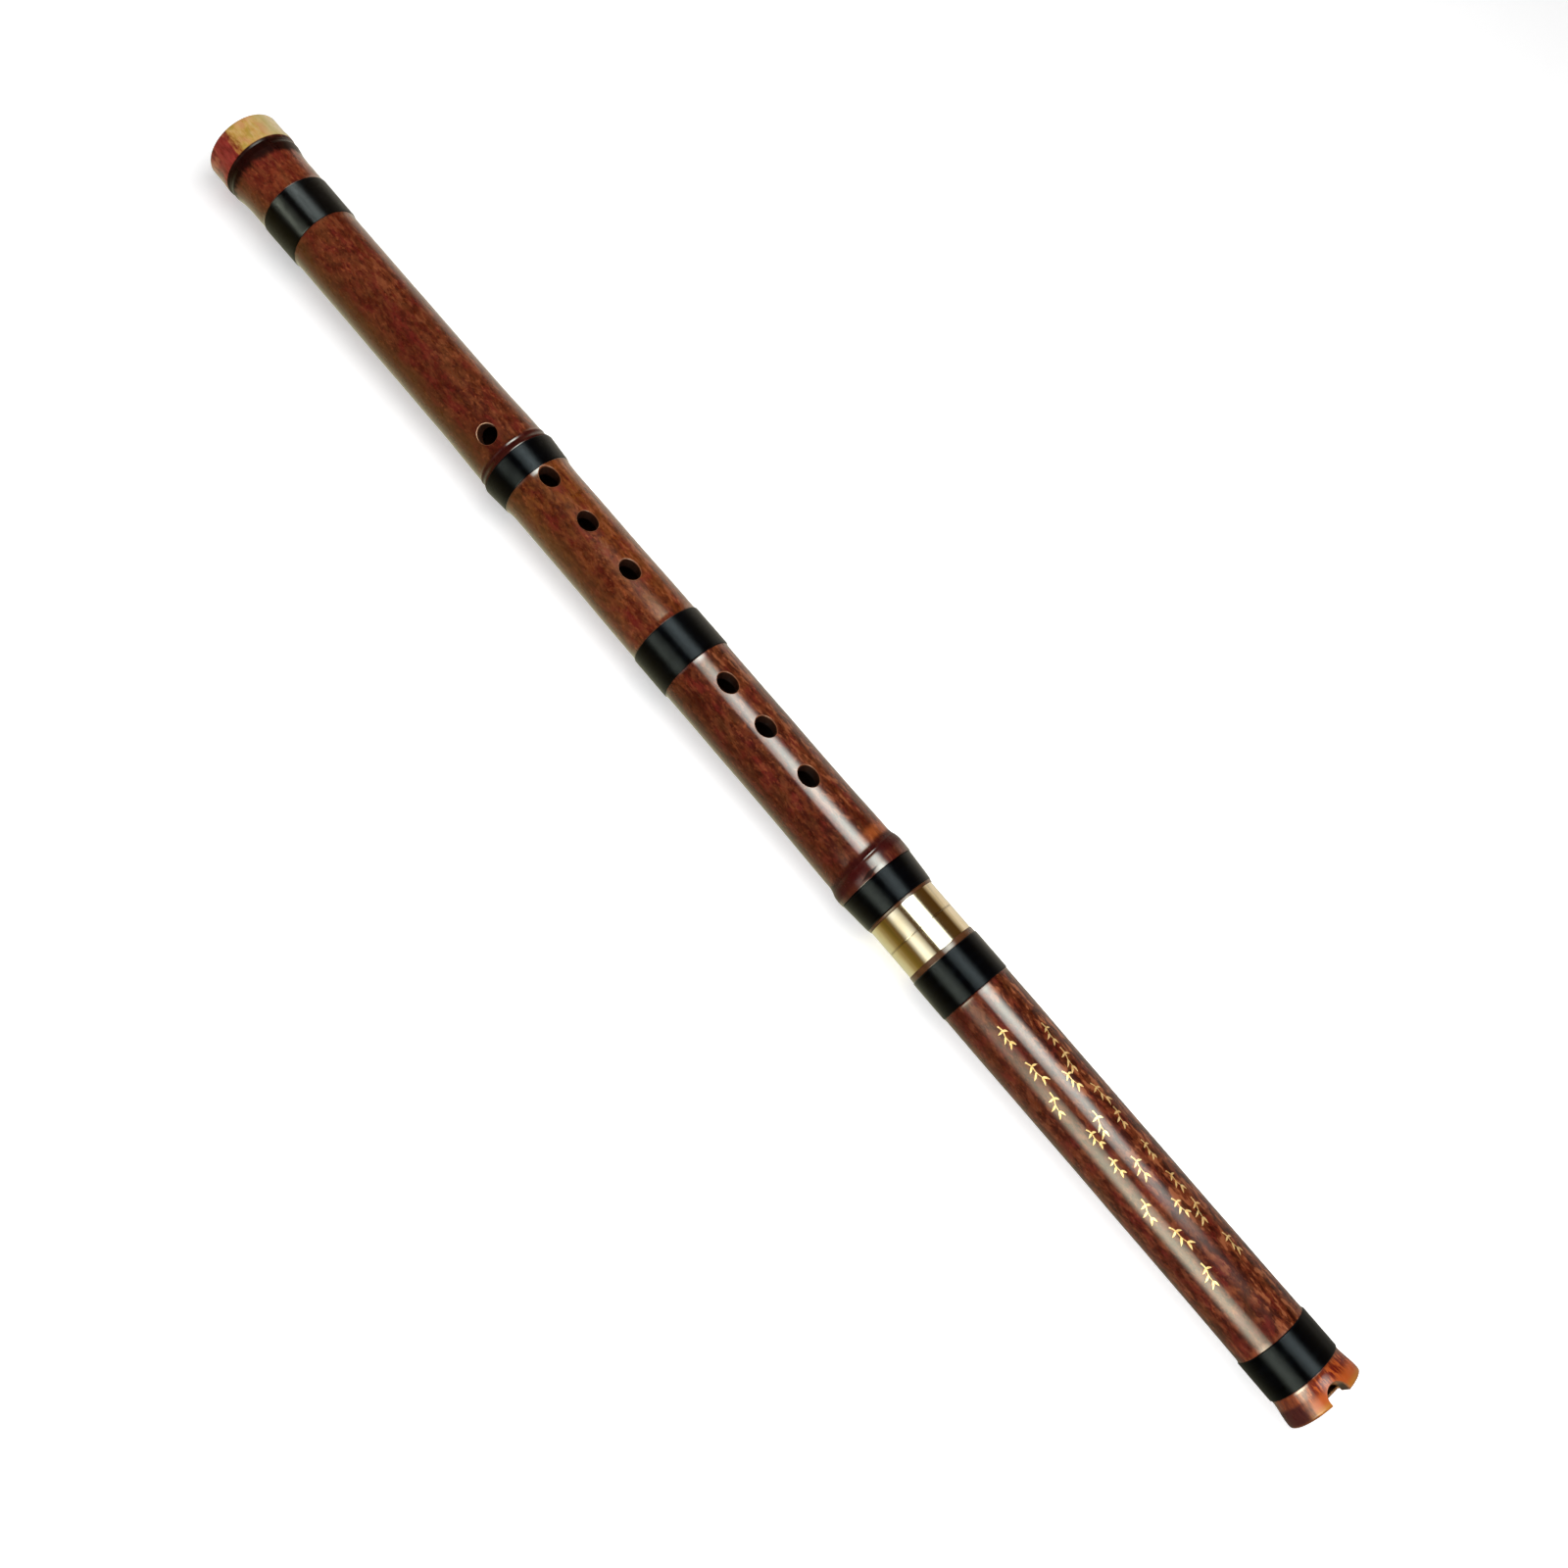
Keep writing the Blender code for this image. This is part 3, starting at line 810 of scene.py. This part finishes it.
def swell(mesh, points, scale):
    """Moves points away from the flute's axis by a scale for each."""
    points[:, 1] *= scale
    points[:, 2] *= scale
    mesh.vertices.foreach_set("co", points.ravel())


def grow(mesh):
    """Adds the unevenness of grown bamboo to the turned surface."""
    points = vertex_array(mesh)
    places, turns, radii = polar(points)
    grown = np.where(radii > OUTSIDE_RADIUS, radii + unevenness(places, turns), radii)
    swell(mesh, points, grown / np.maximum(radii, 1e-9))


def exact_normals(mesh):
    """Shades the outer faces as the true turned surface, so that the cuts leave no dents in the gloss."""
    places, turns, radii = polar(vertex_array(mesh))
    reach = 0.00004
    swing = 0.002
    near = np.abs(radii - surface_radius(places, turns)) < reach / 2
    by_place = (surface_radius(places + reach, turns) - surface_radius(places - reach, turns)) / (2 * reach)
    by_turn = (surface_radius(places, turns + swing) - surface_radius(places, turns - swing)) / (2 * swing)
    outward = np.stack([np.zeros_like(turns), np.sin(turns), np.cos(turns)], 1)
    round_it = np.stack([np.zeros_like(turns), np.cos(turns), -np.sin(turns)], 1)
    normals = outward - round_it * (by_turn / np.maximum(radii, 1e-6))[:, None]
    normals[:, 0] = -by_place
    normals /= np.linalg.norm(normals, axis=1)[:, None]
    corner_normals = np.zeros((len(mesh.loops), 3))
    for face in mesh.polygons:
        if face.material_index == 0 and near[list(face.vertices)].all():
            for corner in face.loop_indices:
                corner_normals[corner] = normals[mesh.loops[corner].vertex_index]
    mesh.normals_split_custom_set(corner_normals.tolist())


def sharpen(mesh, degrees=35):
    """Keeps edges sharp at steep corners and where one material meets another."""
    mesh.set_sharp_from_angle(angle=math.radians(degrees))
    builder = bmesh.new()
    builder.from_mesh(mesh)
    for edge in builder.edges:
        if len({face.material_index for face in edge.link_faces}) > 1:
            edge.smooth = False
    builder.to_mesh(mesh)
    builder.free()


def cut(body, cutters):
    """Cuts the cutters out of a body; cut faces take the cutter's material."""
    for cutter in cutters:
        boolean = body.modifiers.new(cutter.name, "BOOLEAN")
        boolean.operation = "DIFFERENCE"
        boolean.solver = "EXACT"
        boolean.material_mode = "TRANSFER"
        boolean.object = cutter
    bpy.context.view_layer.update()
    depsgraph = bpy.context.evaluated_depsgraph_get()
    finished = bpy.data.meshes.new_from_object(body.evaluated_get(depsgraph))
    body.modifiers.clear()
    body.data = finished
    for cutter in cutters:
        bpy.data.objects.remove(cutter)


def to_cutter(name, builder, turn, material):
    """Turns a finished drill round the flute's axis to its side."""
    bmesh.ops.rotate(builder, cent=(0, 0, 0), matrix=Matrix.Rotation(turn, 3, "X"), verts=builder.verts)
    bmesh.ops.recalc_face_normals(builder, faces=builder.faces)
    return to_object(name, builder, material)


# The bamboo sections


def drill(place, width, length, turn):
    """A drill with an oval section and a rounded lip that follows the bamboo's surface."""
    half = width / 2
    steepest = math.sin(math.radians(LIP_DEGREES[-1]))
    profile = [(0, -DRILL_DEPTH), (half, -DRILL_DEPTH), (half, -LIP)]
    for degrees in LIP_DEGREES:
        angle = math.radians(degrees)
        profile.append((half + LIP * (1 - math.cos(angle)), LIP * (math.sin(angle) - steepest)))
    profile += [(half + LIP_SPREAD, LIP_RISE), (half + LIP_SPREAD, DRILL_TOP), (0, DRILL_TOP)]
    builder = revolved([(radius, 0, height) for radius, height in profile], (0, 0, 1), HOLE_SIDES)
    bmesh.ops.scale(builder, vec=(length / width, 1, 1), verts=builder.verts)
    for vert in builder.verts:
        x, y, height = vert.co
        radius = plain_radius(place + x)
        vert.co = (place + x, y, math.sqrt((radius + height) ** 2 - y * y))
    return to_cutter("drill", builder, turn, BORED)


def notch_drill():
    """The blowing notch: round at its foot, open at the end, with a long bevel at the foot."""
    surface = plain_radius(WHOLE_LENGTH - NOTCH_DEPTH)
    half = NOTCH_WIDTH / 2
    inner = NOTCH_INNER_WIDTH / 2
    low = NOTCH_FLOOR_RADIUS
    top = surface + DRILL_TOP
    # The drill's radius, its height above the flute's axis, and how far its foot is drawn in there
    levels = (
        (0, low, 0.0),
        (inner - 0.0003, low, NOTCH_BEVEL),
        (inner, BORE_RADIUS, NOTCH_BEVEL),
        (half - 0.0003, surface - 0.0012, 0.0001),
        (half - 0.0001, surface - 0.0003, 0.0),
        (half + 0.0001, surface - 0.0001, 0.0),
        (half + 0.0004, surface + 0.0001, 0.0),
        (half + 0.0016, surface + 0.0012, 0.0),
        (half + 0.0016, top, 0.0),
        (0, top, 0.0),
    )
    builder = revolved([(radius, 0, height) for radius, height, _ in levels], (0, 0, 1), NOTCH_SIDES)
    _, heights, shifts = zip(*levels[1:8])
    centre = WHOLE_LENGTH - NOTCH_DEPTH + half
    for vert in builder.verts:
        x, y, height = vert.co
        if x > TINY:
            x += NOTCH_OVERRUN
        elif x < -TINY:
            x += np.interp(height, heights, shifts) * min(1.0, -x / half)
        vert.co = (centre + x, y, height)
    return to_cutter("notch_drill", builder, NOTCH_TURN, CUT)


def grooved(bindings, start, end):
    outline = []
    for binding in bindings:
        depth = THREAD_BUILD + SEAT_GAP
        first = binding.start - SEAT_GAP
        last = binding.end + SEAT_GAP
        outline += outline_between(start, first)
        outline += [(first, binding.start_radius - depth), (last, binding.end_radius - depth)]
        start = last
    return outline + outline_between(start, end)


def paint_ends(mesh, places):
    """Gives the bore its own material, and end grain to the faces that look along the flute at the ends."""
    for face in mesh.polygons:
        centre = face.center
        if math.hypot(centre.y, centre.z) < BORE_SIDE:
            face.material_index = 1
        at_end = any(abs(centre.x - place) < MOUTH_ROUNDING + WALL_CORNER for place in places)
        if at_end and abs(face.normal.x) > 0.8:
            face.material_index = 2


def make_foot():
    face = FOOT_LENGTH - PARTING_GAP / 2
    seat = face - FOOT_COLLAR_LENGTH - SEAT_CLEARANCE
    spigot = COLLAR_RADIUS - COLLAR_WALL - SEAT_CLEARANCE
    shoulder = FOOT_LENGTH - JOINT_DEPTH - SEAT_GAP
    running = BORE_RADIUS + JOINT_WALL + RUNNING_GAP
    outline = list(reversed(rounded_corner(0, 1, turned_radius(FOOT_ROUNDING), FOOT_ROUNDING)))
    outline += grooved(FOOT_BINDINGS, FOOT_ROUNDING, seat)[1:]
    outline += [(seat, spigot), (face, spigot), (face, running), (shoulder, running)]
    outline += stepped(shoulder, FOOT_BORE_EDGE, BORE_RADIUS)
    outline += [(0, BORE_RADIUS + FOOT_BORE_EDGE)]
    tube = to_object("foot_bamboo", spun(outline), BAMBOO, BORED, CUT)
    paint_ends(tube.data, (0, FOOT_LENGTH))
    grow(tube.data)
    drills = [drill(place, HOLE_WIDTH, HOLE_LENGTH, 0) for place in ROW_HOLES]
    drills.append(drill(LOWEST_HOLE, LOWEST_HOLE_WIDTH, LOWEST_HOLE_LENGTH, LOWEST_HOLE_TURN))
    drills.append(drill(THUMB_HOLE, HOLE_WIDTH, HOLE_LENGTH, math.pi))
    drills += [drill(place, VENT_WIDTH, VENT_WIDTH, math.pi) for place in VENTS]
    cut(tube, drills)
    sharpen(tube.data)
    exact_normals(tube.data)
    set_down(tube)
    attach(tube, "foot_section")
    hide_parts("foot_tube")


def make_head():
    face = FOOT_LENGTH + PARTING_GAP / 2
    seat = face + HEAD_COLLAR_LENGTH + SEAT_CLEARANCE
    spigot = COLLAR_RADIUS - COLLAR_WALL - SEAT_CLEARANCE
    end = WHOLE_LENGTH
    wall_outside = end - END_WALL_RECESS
    wall_inside = wall_outside - END_WALL
    shoulder = FOOT_LENGTH + JOINT_DEPTH + SEAT_GAP
    socket_seat = BORE_RADIUS + JOINT_WALL + RUNNING_GAP + SOCKET_WALL + SEAT_CLEARANCE
    outline = [(wall_inside, 0)] + stepped(wall_inside, shoulder, BORE_RADIUS)
    outline += [(shoulder, socket_seat), (face, socket_seat), (face, spigot), (seat, spigot)]
    outline += grooved(HEAD_BINDINGS, seat, end - MOUTH_ROUNDING)
    outline += rounded_corner(end, -1, turned_radius(end - MOUTH_ROUNDING), MOUTH_ROUNDING)[1:]
    outline += [(end, BORE_RADIUS + MOUTH_BORE_EDGE), (end - MOUTH_BORE_EDGE, BORE_RADIUS)]
    outline += [(wall_outside + WALL_CORNER, BORE_RADIUS), (wall_outside, BORE_RADIUS - WALL_CORNER)]
    outline += [(wall_outside, 0)]
    tube = to_object("head_bamboo", spun(outline, closed=False), BAMBOO, BORED, CUT)
    paint_ends(tube.data, (end, wall_outside, FOOT_LENGTH))
    grow(tube.data)
    cut(tube, [notch_drill()])
    sharpen(tube.data)
    exact_normals(tube.data)
    set_down(tube)
    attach(tube, "head_section")
    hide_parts("head_tube")


# Bindings and brass


def make_binding(binding, body):
    """Thread wound side by side: a sleeve whose surface is one long helical corrugation."""
    start = binding.start - SEAT_GAP + THREAD_CLEARANCE
    end = binding.end + SEAT_GAP - THREAD_CLEARANCE
    count = int((end - start) / THREAD_PITCH * THREAD_RINGS)
    rise = COARSE_THREAD_HEIGHT if binding.name == "foot_end_binding" else THREAD_HEIGHT
    outline = [(end, binding.end_radius - THREAD_BUILD), (start, binding.start_radius - THREAD_BUILD)]
    for ring in range(count + 1):
        share = ring / count
        place = start + (end - start) * share
        radius = binding.start_radius + (binding.end_radius - binding.start_radius) * share
        edge = min(place - start, end - place)
        if edge < THREAD_SHOULDER:
            radius -= THREAD_SHOULDER_DROP * (1 - edge / THREAD_SHOULDER) ** 2
        outline.append((place, radius - rise))
    band = to_object(binding.name + "_wound", spun(outline, sides=THREAD_SIDES), THREAD)
    points = vertex_array(band.data)
    places, angles, radii = polar(points)
    full = np.interp(places, [start, end], [binding.start_radius, binding.end_radius])
    phase = (places - start) / THREAD_PITCH + angles / (2 * math.pi)
    thread = 1 - (2 * (phase - np.floor(phase)) - 1) ** 2
    sag = THREAD_SAG * np.sin(places * THREAD_SAGS + 2 * angles)
    swell(band.data, points, np.where(radii > full - THREAD_BUILD / 2, 1 + (thread * rise + sag) / radii, 1))
    band.data.set_sharp_from_angle(angle=math.radians(75))
    set_down(band)
    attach(band, body)
    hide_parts(binding.name)


def make_ring(name, node, ends, radii, chamfer, material, body):
    start, end = ends
    inner, outer = radii
    corner = RING_CORNER
    ease_in = chamfer * 0.3
    outline = [(end - corner, inner), (start + corner, inner), (start, inner + corner)]
    outline += [(start, outer - chamfer), (start + ease_in, outer - ease_in)]
    outline += stepped(start + chamfer, end - chamfer, outer, 0.002)
    outline += [(end - ease_in, outer - ease_in), (end, outer - chamfer), (end, inner + corner)]
    made = to_object(name, spun(outline, sides=BRASS_SIDES), material)
    made.data.set_sharp_from_angle(angle=math.radians(15))
    set_down(made)
    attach(made, body)
    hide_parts(node)


def make_brass():
    before = FOOT_LENGTH - PARTING_LINE / 2
    after = FOOT_LENGTH + PARTING_LINE / 2
    first = FOOT_LENGTH - PARTING_GAP / 2 - FOOT_COLLAR_LENGTH
    last = FOOT_LENGTH + PARTING_GAP / 2 + HEAD_COLLAR_LENGTH
    walls = (COLLAR_RADIUS - COLLAR_WALL, COLLAR_RADIUS)
    make_ring("foot_brass", "foot_collar", (first, before), walls, COLLAR_EDGE, BRASS, "foot_section")
    make_ring("head_brass", "head_collar", (after, last), walls, COLLAR_EDGE, BRASS, "head_section")
    first = FOOT_LENGTH - JOINT_DEPTH
    last = FOOT_LENGTH + JOINT_DEPTH
    walls = (BORE_RADIUS, BORE_RADIUS + JOINT_WALL)
    make_ring("sliding_tube", "joint_tube", (first, last), walls, TUBE_EDGE, TUBE_BRASS, "joint_section")
    inner = BORE_RADIUS + JOINT_WALL + RUNNING_GAP
    walls = (inner, inner + SOCKET_WALL)
    make_ring("tube_socket", "head_socket", (after, last), walls, SOCKET_EDGE, TUBE_BRASS, "head_section")


# Gold ornament

# Sprigs lie in rows: millimetres round the flute from its middle, first and last place, and their number
SPRIG_ROWS = ((-2.6, 474, 584, 8), (4.6, 500, 560, 4), (11.8, 482, 580, 8))
HEAD_RADIUS_MM = 14.95
GOLD_TOP = 0.00005
GOLD_BOTTOM = -0.00002
TWIG_JOINTS = 4
TWIG_STEP = 2.5
TWIG_BEND = 0.4
TWIG_WIDTH = 0.5
LEAF_WIDTH = 0.84
LEAF_ARCH = 0.06
# The joint that a leaf springs from, its lean and its length
LEAVES = ((1, -1.25, 2.6), (1, 0.95, 2.2), (2, -0.90, 3.2), (3, -0.55, 3.4), (3, 0.35, 3.0))


def leaf(builder, foot, length, heading):
    """A pointed leaf drawn flat, as places along the flute and millimetres round it."""
    grid = bmesh.ops.create_grid(builder, x_segments=12, y_segments=2, size=0.5)["verts"]
    for vert in grid:
        share = vert.co.x + 0.5
        belly = math.sin(math.pi * share ** 0.72) ** 0.9
        arch = LEAF_ARCH * length * math.sin(math.pi * share)
        vert.co = (share * length, vert.co.y * LEAF_WIDTH * belly + arch, 0)
    bmesh.ops.rotate(builder, cent=(0, 0, 0), matrix=Matrix.Rotation(heading, 3, "Z"), verts=grid)
    bmesh.ops.translate(builder, vec=(foot.x, foot.y, 0), verts=grid)


def twig(builder, points):
    """A thin tapering line on a smooth curve through flat points."""
    last = len(points) - 1
    grid = bmesh.ops.create_grid(builder, x_segments=last * 6, y_segments=1, size=0.5)["verts"]
    for vert in grid:
        share = vert.co.x + 0.5
        at = min(share * last, last - TINY)
        index = int(at)
        before = points[max(index - 1, 0)]
        first = points[index]
        second = points[index + 1]
        after = points[min(index + 2, last)]
        t = at - index
        smooth = 0.5 * (
            2 * first
            + (second - before) * t
            + (2 * before - 5 * first + 4 * second - after) * t * t
            + (3 * first - before - 3 * second + after) * t ** 3
        )
        heading = (second - first).normalized()
        aside = Vector((-heading.y, heading.x))
        spot = smooth + aside * vert.co.y * TWIG_WIDTH * (1 - 0.6 * share)
        vert.co = (spot.x, spot.y, 0)


def sprig(builder, foot, heading, size):
    """A short bent twig with narrow leaves that spring from its joints, most to one side."""
    forward = Vector((math.cos(heading), math.sin(heading)))
    aside = Vector((-forward.y, forward.x))
    joints = []
    for step in range(TWIG_JOINTS):
        joints.append(foot + forward * (step * TWIG_STEP * size) + aside * (TWIG_BEND * math.sin(step * 1.9)))
    twig(builder, joints)
    for index, lean, length in LEAVES:
        bend = heading + lean + 0.2 * math.sin(index * 2.1 + foot.x)
        leaf(builder, joints[index], length * size, bend)


def make_ornament():
    """Sprigs of bamboo leaves in gold on the head section, drawn flat and then wrapped round the flute."""
    builder = bmesh.new()
    for row, (round_mm, first, last, count) in enumerate(SPRIG_ROWS):
        for index in range(count):
            place = first + (last - first) * index / (count - 1) + 1.6 * math.sin(index * 2.7 + row)
            foot = Vector((place, round_mm + 0.7 * math.cos(index * 1.9)))
            heading = 0.24 * math.sin(index * 2.3 + row * 1.7)
            sprig(builder, foot, heading, 0.94 + 0.12 * math.sin(index * 1.3))
    bmesh.ops.remove_doubles(builder, verts=builder.verts, dist=1e-4)
    raised = bmesh.ops.extrude_face_region(builder, geom=list(builder.faces), use_keep_orig=True)["geom"]
    tops = [item for item in raised if isinstance(item, bmesh.types.BMVert)]
    bmesh.ops.translate(builder, vec=(0, 0, 1), verts=tops)
    bmesh.ops.recalc_face_normals(builder, faces=builder.faces)
    for vert in builder.verts:
        place = vert.co.x / TO_MM
        turn = vert.co.y / HEAD_RADIUS_MM
        lift = GOLD_TOP if vert.co.z > 0.5 else GOLD_BOTTOM
        outward = FACING * math.cos(turn) + UPPER_RIGHT * math.sin(turn)
        angle = math.atan2(outward.y, outward.z)
        radius = surface_radius(np.array([place]), np.array([angle]))[0]
        vert.co = Vector((place, 0, 0)) + outward * (radius + lift)
    made = to_object("gold_sprigs", builder, GOLD)
    made.data.set_sharp_from_angle(angle=math.radians(50))
    set_down(made)
    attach(made, "head_section")


# Studio


def panel(name, turns, places, strengths, shares, tints=None, lean=None, glossy=False):
    """A curved soft panel round the flute's axis, which either lights the flute or is seen in its gloss.
    Strengths are stops of place in mm and brightness, shares are stops of the sine of the turn and the
    share of that brightness, and tints are stops of place in mm and colour. A lean of start, end and shift
    moves the shares round the flute at places before it."""
    builder = bmesh.new()
    first_turn, last_turn = (math.radians(turn) for turn in turns)
    outward = FACING * math.cos(first_turn) + UPPER_RIGHT * math.sin(first_turn)
    ends = [builder.verts.new(Vector((place - MIDDLE, 0, 0)) + outward * PANEL_DISTANCE) for place in places]
    edge = builder.edges.new(ends)
    bmesh.ops.spin(
        builder,
        geom=ends + [edge],
        cent=(0, 0, 0),
        axis=(1, 0, 0),
        angle=-(last_turn - first_turn),
        steps=24,
    )
    bmesh.ops.translate(builder, vec=(0, 0, AXIS_HEIGHT), verts=builder.verts)
    look = Look(name)
    level = look.grey_ramp(look.along, strengths)
    if tints:
        tint = look.ramp(look.along, [(place, shade + (1,)) for place, shade in tints])
        level = look.mix(1.0, level, tint, "MULTIPLY")
    across = (look.side * UPPER_RIGHT.y + look.up * UPPER_RIGHT.z) / (PANEL_DISTANCE * TO_MM)
    if lean:
        start, end, shift = lean
        across = across - look.along.fall(start, end) * shift
    light = look.glow(look.mix(1.0, level, look.grey_ramp(across, shares), "MULTIPLY"))
    # A panel that only the gloss sees lets what stands behind it through
    behind = look.node("ShaderNodeBsdfTransparent", {}, {}) if glossy else None
    look.show(light, behind)
    made = to_object(name, builder, look.material)
    made.visible_camera = False
    made.visible_shadow = False
    made.visible_diffuse = not glossy
    made.visible_glossy = glossy


def make_lights():
    panel(
        "upper_light",
        turns=(5, 56),
        places=(0.110, 0.590),
        strengths=((110, 6.5), (430, 6.5), (530, 2.5), (590, 0.5)),
        shares=((0.07, 0.45), (0.22, 0.6), (0.36, 0.85), (0.50, 1.0)),
    )
    panel(
        "lower_light",
        turns=(-58, -13),
        places=(0.350, 0.900),
        strengths=((350, 1.6), (400, 1.6), (440, 1.0), (520, 2.0), (700, 4.0), (900, 4.0)),
        shares=((-1, 1), (1, 1)),
    )


# What the gloss shows of the lights fades at each end and across, as a soft box with a bright middle does
UPPER_BRIGHTNESS = (
    (-20, 0.0), (5, 0.6), (43, 1.1), (62, 1.9), (90, 5.0), (122, 10.0), (165, 12.0), (240, 14.5), (340, 15.3),
    (430, 15.3), (480, 14.4), (530, 11.6), (570, 11.2), (590, 8.6), (610, 8.0), (629, 5.0), (680, 2.8),
    (700, 0.5), (720, 0.0),
)
UPPER_SHARES = (
    (0.085, 0.0), (0.13, 0.20), (0.18, 0.42), (0.30, 0.66), (0.445, 1.05), (0.57, 1.0), (0.67, 0.58),
    (0.75, 0.14), (0.80, 0.02), (0.83, 0.0),
)
LOWER_BRIGHTNESS = (
    (300, 0.0), (330, 0.6), (366, 1.3), (408, 1.35), (440, 1.9), (473, 2.2), (511, 3.6), (530, 4.5),
    (550, 6.0), (570, 7.9), (610, 10.0), (687, 10.7), (726, 10.5), (764, 6.7), (798, 6.7), (812, 22.0),
    (1040, 22.0),
)
LOWER_SHARES = (
    (-0.90, 0.0), (-0.852, 0.16), (-0.80, 0.42), (-0.755, 0.72), (-0.70, 0.92), (-0.64, 1.0), (-0.53, 0.93),
    (-0.40, 0.62), (-0.29, 0.38), (-0.24, 0.22), (-0.18, 0.0),
)


def make_softboxes():
    panel(
        "upper_softbox",
        turns=(1, 60),
        places=(-0.020, 0.720),
        strengths=UPPER_BRIGHTNESS,
        shares=UPPER_SHARES,
        tints=((62, (0.90, 0.82, 0.45)), (150, (0.88, 0.98, 0.92)), (430, (0.89, 1.0, 0.91))),
        glossy=True,
    )
    panel(
        "lower_softbox",
        turns=(-65, -5),
        places=(0.300, 1.040),
        strengths=LOWER_BRIGHTNESS,
        shares=LOWER_SHARES,
        tints=((410, (0.93, 0.97, 0.90)), (455, (0.85, 0.93, 0.68)), (700, (0.88, 0.92, 0.70))),
        lean=(395, 455, 0.06),
        glossy=True,
    )


# The floor as the flute's gloss sees it, with painted shade that only the gloss shows: it darkens away from
# the flute on the side of the camera, and towards the blowing end, first on the far side of the flute
FLOOR_ACROSS = (
    (-150, (0.145, 0.095, 0.015, 1)),
    (-78, (0.20, 0.135, 0.03, 1)),
    (-44, (0.33, 0.27, 0.12, 1)),
    (-31, (0.54, 0.50, 0.28, 1)),
    (-20, (0.61, 0.61, 0.38, 1)),
    (20, (0.62, 0.58, 0.47, 1)),
    (60, (0.80, 0.72, 0.58, 1)),
)
NEAR_FLOOR = ((330, 1.0), (400, 0.78), (416, 1.05), (441, 1.05), (460, 0.52), (620, 0.3))
FAR_FLOOR = ((150, 1.0), (320, 0.75), (402, 0.65), (416, 1.0), (441, 1.0), (460, 0.62), (620, 0.36))


def make_floor():
    builder = bmesh.new()
    bmesh.ops.create_grid(builder, x_segments=1, y_segments=1, size=4.0)
    look = Look("white_floor")
    is_camera = look.ray("Camera")
    is_glossy = look.ray("Glossy")
    near = look.ramp(look.along, [(place, (share, share, share * 1.05, 1)) for place, share in NEAR_FLOOR])
    fade = look.mix(look.side.rise(-12, 12), near, look.grey_ramp(look.along, FAR_FLOOR))
    seen = look.mix(1.0, look.ramp(look.side, FLOOR_ACROSS), fade, "MULTIPLY")
    white = (0.93, 0.93, 0.93, 1)
    look.set(Base_Color=look.mix(is_glossy, white, BLACK), Roughness=0.9, Specular_IOR_Level=0.0)
    # Painted light: the floor glows to the camera so that it shows white, and more towards the blowing end,
    # where the glow lightens the flute's cast shadow
    lift = look.along.rise(250, 640) * 0.20 + 0.37
    seen = look.mix(is_glossy, WHITE, seen)
    glow = look.glow(look.mix(1.0, seen, is_camera * lift + is_glossy, "MULTIPLY"))
    look.show(Wire(look, look.shader.outputs[0]), glow)
    floor = to_object("floor", builder, look.material)


def make_world():
    """White to the camera, an even fill for the flute, and a dark room with a pale far wall in its gloss."""
    world = bpy.data.worlds.new("studio")
    bpy.context.scene.world = world
    world.use_nodes = True
    nodes = Nodes(world.node_tree)
    ahead, aside, up = nodes.parts(nodes.node("ShaderNodeTexCoord", {}, {}, "Generated"))
    low = up.climb(0.34, 0.02)
    # The brass mirrors a stretch of the walls that nothing else does; there they are paler
    door = ahead.climb(-0.088, -0.078) * ahead.climb(-0.028, -0.038)
    far_wall = nodes.mix(door, (0.42, 0.36, 0.24, 1), (0.72, 0.60, 0.42, 1))
    near_wall = nodes.mix(aside.climb(-0.8, -0.95) * low, (0.073, 0.034, 0.005, 1), (0.15, 0.085, 0.014, 1))
    room = nodes.mix(low * aside.climb(0.2, 0.5), near_wall, far_wall)
    shade = nodes.mix(nodes.ray("Glossy"), (0.25, 0.25, 0.25, 1), room)
    background = world.node_tree.nodes["Background"]
    nodes.feed(background.inputs["Color"], nodes.mix(nodes.ray("Camera"), shade, WHITE))
    background.inputs["Strength"].default_value = 1.0


def make_camera():
    """The camera that was fitted to the photograph."""
    pan = math.radians(9.24)
    roll_cosine = 0.6527
    roll_sine = 0.7576
    along = Vector((1, 0, 0))
    forward = -FACING * math.cos(pan) - along * math.sin(pan)
    level = along * math.cos(pan) - FACING * math.sin(pan)
    right = level * roll_cosine + UPPER_RIGHT * roll_sine
    up = -level * roll_sine + UPPER_RIGHT * roll_cosine
    data = bpy.data.cameras.new("camera")
    data.lens = 44.055
    data.sensor_width = 36
    data.clip_start = 0.01
    camera = bpy.data.objects.new("camera", data)
    bpy.context.scene.collection.objects.link(camera)
    bpy.context.scene.camera = camera
    spot = Vector((0.1451, 0, AXIS_HEIGHT)) + FACING * 0.7287 - UPPER_RIGHT * 0.00315
    turn = Matrix((right, up, -forward)).transposed().to_4x4()
    camera.matrix_world = Matrix.Translation(spot) @ turn


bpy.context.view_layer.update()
make_foot()
make_head()
for binding in FOOT_BINDINGS:
    make_binding(binding, "foot_section")
for binding in HEAD_BINDINGS:
    make_binding(binding, "head_section")
make_brass()
make_ornament()
make_lights()
make_softboxes()
make_floor()
make_world()
make_camera()
bpy.context.scene.view_settings.view_transform = "Standard"
